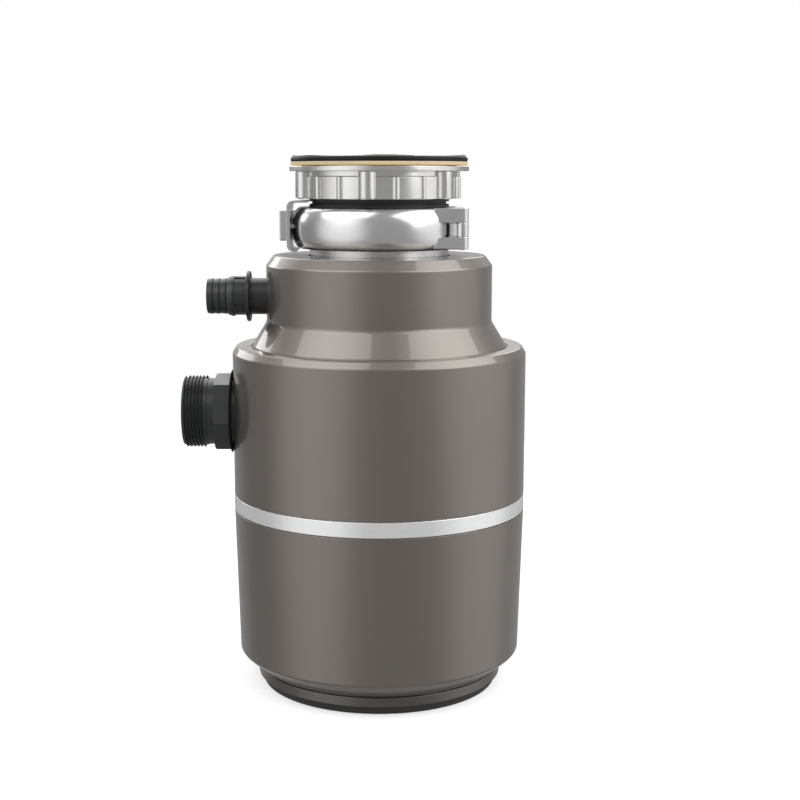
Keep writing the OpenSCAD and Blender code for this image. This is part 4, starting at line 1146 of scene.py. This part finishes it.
    def build_rivets(self, face):
        """Two rivets with low round heads on the bracket's flat side."""
        lowest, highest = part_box("bracket_pins")
        radius = (highest.z - lowest.z) / 2
        end = -highest.x
        under = face - 0.2 * MM
        rivets = []
        for place in (lowest.y + radius, highest.y - radius):
            shape = lathe(
                (0, end),
                (radius, end),
                (radius, under),
                (radius + 0.6 * MM, under),
                (radius + 0.5 * MM, face + 0.3 * MM, 0.2 * MM),
                (radius * 0.5, face + 0.7 * MM, 0.4 * MM),
                (0, face + 0.8 * MM),
                steps=48,
            )
            towards_left(shape, middle_of("bracket_pins").z)
            rivets.append(moved(shape, Matrix.Translation((0, place, 0))))
        pieces = joined(rivets)
        dress("bracket_rivets", pieces, "fastener_steel", "clamp_front_half", "bracket_pins")

    def build_fasteners(self):
        """The clamp screw with a round socket sunk in its head, and the hinge's rod."""
        lowest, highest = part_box("clamp_screw")
        middle = middle_of("clamp_screw")
        tall = 5 * MM
        neck = highest.y - lowest.y - tall
        shank = pillar(2.5 * MM, 0, neck, 0.4 * MM)
        key = 2.31 * MM
        head = lathe(
            (0, 0),
            (4 * MM, 0, 0.3 * MM),
            (4 * MM, tall, 0.6 * MM),
            (key, tall, 0.2 * MM),
            (key, tall / 2),
            (0, tall / 2),
            steps=48,
        )
        moved(head, Matrix.Translation((0, 0, neck)))
        whole = towards_rear(joined([shank, head]), (middle.x, lowest.y, middle.z))
        dress("tightening_screw", whole, "fastener_steel", "clamp_screw", "clamp_screw")
        place = middle_of("hinge_pin").xy
        pin = pillar(1.75 * MM, low("hinge_pin"), high("hinge_pin"), 0.3 * MM, place)
        dress("hinge_rod", pin, "fastener_steel", "casing", "hinge_pin")


class BuildMount(bpy.types.Operator):
    """Build the mount nut, the gaskets, the sink flange, the collar and the splash guard"""

    bl_idname = "disposer.build_mount"
    bl_label = "Sink mount"

    def execute(self, context):
        sizes = context.scene.disposer_mount
        self.build_nut(sizes)
        self.build_gasket("fibre_disc", "fibre", "fibre_gasket", (0.3 * MM, 0.5 * MM))
        self.build_gasket(
            "rubber_disc", "black_rubber", "rubber_gasket", (MM, MM), coat="gasket_rubber"
        )
        self.build_flange(sizes)
        self.build_collar()
        self.build_guard()
        return {"FINISHED"}

    def build_nut(self, sizes):
        flange, bottom, top = extent("mount_nut")
        flange_bottom = top - sizes.flange_height
        step = top - 0.7 * MM
        seat = flange - 8 * MM
        rib_top = bottom + sizes.rib_height
        wall = sizes.nut_wall
        neck = wall - 0.9 * MM
        shapes = [
            lathe(
                (sizes.nut_bore, bottom, 0.4 * MM),
                (wall, bottom, 0.6 * MM),
                (wall, rib_top, 0.4 * MM),
                (neck, rib_top + 0.3 * MM, 0.2 * MM),
                (neck, flange_bottom),
                (flange, flange_bottom, 0.4 * MM),
                (flange, step, 0.15 * MM),
                (seat, step),
                (seat, top),
                (sizes.nut_bore, top, 0.4 * MM),
            )
        ]
        for index in range(sizes.rib_count):
            broad = index % 3 == 0
            half = sizes.broad_rib if broad else sizes.thin_rib
            crest = sizes.broad_crest if broad else sizes.thin_crest
            end = flange_bottom + 0.2 * MM if broad else rib_top
            spot = (crest - half, 0)
            rib = pillar(half, bottom, end, 1.0 * MM if broad else 0.5 * MM, spot, 48)
            angle = sizes.rib_turn - math.pi / 2 + math.tau * index / sizes.rib_count
            shapes.append(turned(rib, angle))
        dress("ribbed_nut", joined(shapes), "nut_metal", "mount_nut", "mount_nut")

    def build_gasket(self, name, slot, node, rounds, coat=None):
        """A flat disc, rounded at the outside by one amount below and another above."""
        inner = 43.2 * MM
        outer, bottom, top = extent(node)
        disc = lathe(
            (inner, bottom, 0.2 * MM),
            (outer, bottom, rounds[0]),
            (outer, top, rounds[1]),
            (inner, top, 0.2 * MM),
        )
        dress(name, disc, slot, "casing", node, coat=coat)

    def build_flange(self, sizes):
        rim, bottom, top = extent("sink_flange")
        under = top - sizes.rim_height
        throat = sizes.throat
        mouth = throat - 0.7 * MM
        step = 316.66 * MM
        tube = 43 * MM
        foot, foot_top = 50 * MM, bottom + 2 * MM
        skin = lathe(
            (mouth, bottom, 0.3 * MM),
            (foot, bottom, 0.6 * MM),
            (foot, foot_top, 0.6 * MM),
            (tube, foot_top),
            (tube, under),
            (rim, under, 0.3 * MM),
            (rim, top - 0.6 * MM, 0.3 * MM),
            (rim - 1.2 * MM, top, 1.0 * MM),
            (54 * MM, top, 0.8 * MM),
            (46 * MM, top - 0.7 * MM, 1.5 * MM),
            (throat, top - 2.4 * MM, 1.5 * MM),
            (throat, step),
            (mouth, step),
            segments=6,
        )
        dress("flange_rim", skin, "flange_steel", "casing", "sink_flange")

    def build_collar(self):
        """The sleeve that the clamp grips, with a groove round its neck."""
        sleeve, bottom, top = extent("mount_collar")
        shoulder = 312.76 * MM
        outer = 45.7 * MM
        groove = outer - 1.8 * MM
        lip = 1.7 * MM
        throat = 41 * MM
        bore = 43.05 * MM
        seat = 50.05 * MM
        floor, roof = bottom + 3 * MM, bottom + 5 * MM
        ring = lathe(
            (throat, bottom),
            (sleeve, bottom, 0.4 * MM),
            (sleeve, shoulder, 0.4 * MM),
            (outer, shoulder),
            (outer, top - 2 * lip, 0.5 * MM),
            (groove, top - 2 * lip, 0.3 * MM),
            (groove, top - lip, 0.3 * MM),
            (outer, top - lip, 0.5 * MM),
            (outer, top, 0.5 * MM),
            (bore, top, 0.2 * MM),
            (bore, roof),
            (seat, roof),
            (seat, floor),
            (throat, floor),
        )
        dress("rubber_collar", ring, "black_rubber", "casing", "mount_collar")

    def build_guard(self):
        """The splash guard: a sagging rubber disc with slits between its flaps."""
        outer, bottom, top = extent("splash_guard")
        inner = outer - 2.5 * MM
        mouth = 12 * MM
        skirt = lathe(
            (mouth, bottom, 0.6 * MM),
            (inner, bottom + 5 * MM, 2 * MM),
            (outer, bottom + 5 * MM, MM),
            (outer, top, 0.8 * MM),
            (inner, top, 0.8 * MM),
            (inner, bottom + 7 * MM, 2 * MM),
            (mouth, bottom + 2 * MM, 0.6 * MM),
        )
        slits = []
        flaps = 8
        half = 0.6 * MM
        for index in range(flaps):
            slit = block((10 * MM, -half, bottom - MM), (inner * 0.88, half, bottom + 9 * MM))
            slits.append(turned(slit, math.tau * index / flaps))
        guard = bored(skirt, joined(slits))
        dress("splash_rubber", guard, "black_rubber", "casing", "splash_guard")


class BuildFittings(bpy.types.Operator):
    """Build the reset button with its spring, the base screws and the cable grommet"""

    bl_idname = "disposer.build_fittings"
    bl_label = "Small fittings"

    def execute(self, context):
        self.build_button()
        self.build_spring()
        self.build_screws()
        self.build_grommet()
        return {"FINISHED"}

    def button_axis(self):
        return Matrix.Translation((0, middle_of("reset_button").y, 0))

    def build_button(self):
        bottom, top = low("reset_button"), high("reset_button")
        seat = low("reset_spring")
        flange = seat - 1.4 * MM
        brim = 5.8 * MM
        guide = 2.6 * MM
        edge = 4.5 * MM
        cap = lathe(
            (0, bottom + 0.6 * MM),
            (edge - 1.6 * MM, bottom + 0.4 * MM, 1.2 * MM),
            (edge - 0.9 * MM, bottom, 0.3 * MM),
            (edge, bottom + 0.9 * MM, 0.4 * MM),
            (edge, flange),
            (brim, flange, 0.3 * MM),
            (brim, seat, 0.3 * MM),
            (guide, seat),
            (guide, top, 0.4 * MM),
            (0, top),
            steps=64,
        )
        button = moved(cap, self.button_axis())
        dress("reset_knob", button, "red_plastic", "reset_button", "reset_button")

    def build_spring(self):
        """Five turns of wire between the button's flange and the overload protector."""
        wire = 0.55 * MM
        middle = 3.85 * MM
        turns = 5
        bottom = low("reset_spring") + wire
        rise = (high("reset_spring") - wire - bottom) / turns
        shape = bmesh.new()
        stand = Matrix.Translation((middle, 0, bottom)) @ Matrix.Rotation(math.pi / 2, 4, "X")
        bmesh.ops.create_circle(shape, segments=12, radius=wire, matrix=stand)
        place = self.button_axis()
        coil = moved(wound(shape, rise, turns, 40), place)
        spring = dress("reset_coil", coil, "fastener_steel", "casing", "reset_spring")
        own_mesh(spring)

    def build_screws(self):
        """Three screws under the base, each with a sunk drive in its head."""
        bottom, top = low("base_screws"), high("base_screws")
        under = low("base_cap") + 2.5 * MM
        screws = []
        for place in post_places():
            shape = lathe(
                (0, bottom + 1.2 * MM),
                (1.3 * MM, bottom + 0.9 * MM),
                (1.6 * MM, bottom),
                (3.4 * MM, bottom + 0.2 * MM, 0.6 * MM),
                (3.8 * MM, under, 0.2 * MM),
                (2.0 * MM, under),
                (2.0 * MM, top, 0.4 * MM),
                (0, top),
                steps=48,
            )
            screws.append(moved(shape, Matrix.Translation((*place, 0))))
        dress("foot_screws", joined(screws), "fastener_steel", "casing", "base_screws")

    def build_grommet(self):
        lowest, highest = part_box("cable_grommet")
        outer = (highest.x - lowest.x) / 2
        inside = outer - 1.25 * MM
        neck = outer - 2.52 * MM
        thick = 2.8 * MM
        bore = 4.1 * MM
        ring = lathe(
            (bore, lowest.y, 0.4 * MM),
            (inside, lowest.y, 0.8 * MM),
            (inside, lowest.y + thick, 0.3 * MM),
            (neck, lowest.y + thick),
            (neck, highest.y - thick),
            (outer, highest.y - thick, 0.3 * MM),
            (outer, highest.y - 0.8 * MM, 0.6 * MM),
            (outer - 1.8 * MM, highest.y, 0.8 * MM),
            (bore + 0.8 * MM, highest.y, 0.4 * MM),
            (bore, highest.y - 0.8 * MM, 0.4 * MM),
            steps=64,
        )
        bush = towards_rear(ring, (0, 0, middle_of("cable_grommet").z))
        dress("cable_bush", bush, "black_rubber", "casing", "cable_grommet")


class BuildInside(bpy.types.Operator):
    """Give every CAD node that stays its finish"""

    bl_idname = "disposer.build_inside"
    bl_label = "Working parts"

    def execute(self, context):
        slots = {part["node"]: part["material_slot"] for part in frame["record"]["subparts"]}
        for name, node in frame["nodes"].items():
            if node.hide_render:
                continue
            material = finish(slots[name])
            if not node.material_slots:
                node.data.materials.append(material)
            for place in node.material_slots:
                place.material = material
        return {"FINISHED"}


class BuildStudio(bpy.types.Operator):
    """Set up the camera, the lamps, the floor and the white background"""

    bl_idname = "disposer.build_studio"
    bl_label = "Studio"

    def execute(self, context):
        studio = context.scene.disposer_studio
        self.build_camera(context, studio)
        self.build_lamps(studio)
        self.build_world(context, studio)
        self.build_floor()
        context.scene.view_settings.view_transform = "Standard"
        return {"FINISHED"}

    def build_camera(self, context, studio):
        data = bpy.data.cameras.new("camera")
        data.sensor_width = 36.0
        data.lens = studio.lens
        data.shift_x = studio.shift
        data.clip_start = 0.01
        camera = bpy.data.objects.new("camera", data)
        camera.location = (0, -studio.distance, studio.eye)
        camera.rotation_euler = (math.pi / 2 - studio.pitch, 0, 0)
        context.scene.collection.objects.link(camera)
        context.scene.camera = camera

    def build_lamps(self, studio):
        """Soft boxes at the left and right front, and a narrow one at the left rear."""
        centre = Vector((0, 0, 0.2))
        for name, azimuth, elevation, roll, width, height in (
            ("left_lamp", -54, 45, 17, 1.74, 0.91),
            ("right_lamp", 68, 38, 22, 2.1, 1.4),
            ("rim_lamp", -134, 16, 0, 1.1, 0.42),
        ):
            away = towards(azimuth, elevation)
            data = bpy.data.lights.new(name, "AREA")
            data.shape = "RECTANGLE"
            data.size = width
            data.size_y = height
            data.energy = studio.lamp_level * math.pi * width * height
            lamp = bpy.data.objects.new(name, data)
            lamp.location = centre + away * studio.lamp_distance
            turn = Matrix.Rotation(math.radians(roll), 3, "Z")
            lamp.rotation_euler = (away.to_track_quat("Z", "Y").to_matrix() @ turn).to_euler()
            lamp.visible_camera = False
            bpy.context.scene.collection.objects.link(lamp)

    def build_world(self, context, studio):
        """White for the camera, and a room with soft walls of light for what mirrors it."""
        world = bpy.data.worlds.new("studio_room")
        world.use_nodes = True
        context.scene.world = world
        room = Paint(world.node_tree)
        direction = room.node("ShaderNodeTexCoord", output="Generated")
        level = studio.front_level
        for azimuth, elevation, spread, glow in (
            (-52, 0, 44, 0.58),
            (84, 0, 46, 0.52),
            (-50, 27, 35, 0.45),
            (74, 27, 35, 0.25),
            (180, 46, 44, 2.3),
            (-112, -5, 30, -0.08),
            (-142, 32, 27, 0.8),
        ):
            facing = room.node(
                "ShaderNodeVectorMath",
                {"operation": "DOT_PRODUCT"},
                {0: direction, 1: towards(azimuth, elevation)},
                output="Value",
            )
            edge = math.cos(math.radians(spread))
            level = room.rise(facing, edge, 1.0, glow) + level
        rays = "ShaderNodeLightPath"
        through = room.node(rays, output="Is Transmission Ray")
        seen = room.node(rays, output="Is Camera Ray") + through
        mirrored = room.node(rays, output="Is Glossy Ray") * level
        soft = room.node(rays, output="Is Diffuse Ray") * studio.room_level
        sky = world.node_tree.nodes["Background"]
        room.feed(sky.inputs["Color"], (1, 1, 1))
        room.feed(sky.inputs["Strength"], seen + mirrored + soft)

    def build_floor(self):
        """A pale disc that the camera sees as white and that keeps the object's shadow."""
        shape = bmesh.new()
        bmesh.ops.create_circle(shape, cap_ends=True, segments=96, radius=0.9)
        floor = as_object("floor", shape)
        floor.location.z = -0.2 * MM
        floor.visible_glossy = False
        pale = Finish(
            "floor", (0.8, 0.8, 0.8), 1.0, Specular_IOR_Level=0.0, Emission_Color=(1, 1, 1)
        )
        seen = pale.node("ShaderNodeLightPath", output="Is Camera Ray")
        pale.set("Emission Strength", seen * 0.5)
        floor.data.materials.append(pale.material)


class DisposerPanel(bpy.types.Panel):
    """Lists the disposer's pieces"""

    bl_idname = "VIEW3D_PT_disposer"
    bl_label = "Food Waste Disposer"
    bl_space_type = "VIEW_3D"
    bl_region_type = "UI"
    bl_category = "Disposer"

    def draw(self, context):
        scene = context.scene
        for operator, group in STEPS:
            section = self.layout.box()
            section.operator(operator.bl_idname)
            if group:
                sizes = getattr(scene, group)
                for name in sizes.bl_rna.properties.keys():
                    if name not in {"rna_type", "name"}:
                        section.prop(sizes, name)


GROUPS = {
    "disposer_casing": DisposerCasing,
    "disposer_pipes": DisposerPipes,
    "disposer_mount": DisposerMount,
    "disposer_clamp": DisposerClamp,
    "disposer_studio": DisposerStudio,
}
STEPS = (
    (BuildStudio, "disposer_studio"),
    (BuildCasing, "disposer_casing"),
    (BuildOutlet, "disposer_pipes"),
    (BuildInlet, None),
    (BuildClamp, "disposer_clamp"),
    (BuildMount, "disposer_mount"),
    (BuildFittings, None),
    (BuildInside, None),
)


def register():
    for group in GROUPS.values():
        bpy.utils.register_class(group)
    for name, group in GROUPS.items():
        setattr(bpy.types.Scene, name, bpy.props.PointerProperty(type=group))
    for operator, _ in STEPS:
        bpy.utils.register_class(operator)
    bpy.utils.register_class(DisposerPanel)


def unregister():
    bpy.utils.unregister_class(DisposerPanel)
    for operator, _ in reversed(STEPS):
        bpy.utils.unregister_class(operator)
    for name, group in reversed(GROUPS.items()):
        delattr(bpy.types.Scene, name)
        bpy.utils.unregister_class(group)


def main():
    register()
    bpy.ops.disposer.build_studio()
    bpy.ops.disposer.build_casing()
    bpy.ops.disposer.build_outlet()
    bpy.ops.disposer.build_inlet()
    bpy.ops.disposer.build_clamp()
    bpy.ops.disposer.build_mount()
    bpy.ops.disposer.build_fittings()
    bpy.ops.disposer.build_inside()


if __name__ == "__main__":
    main()
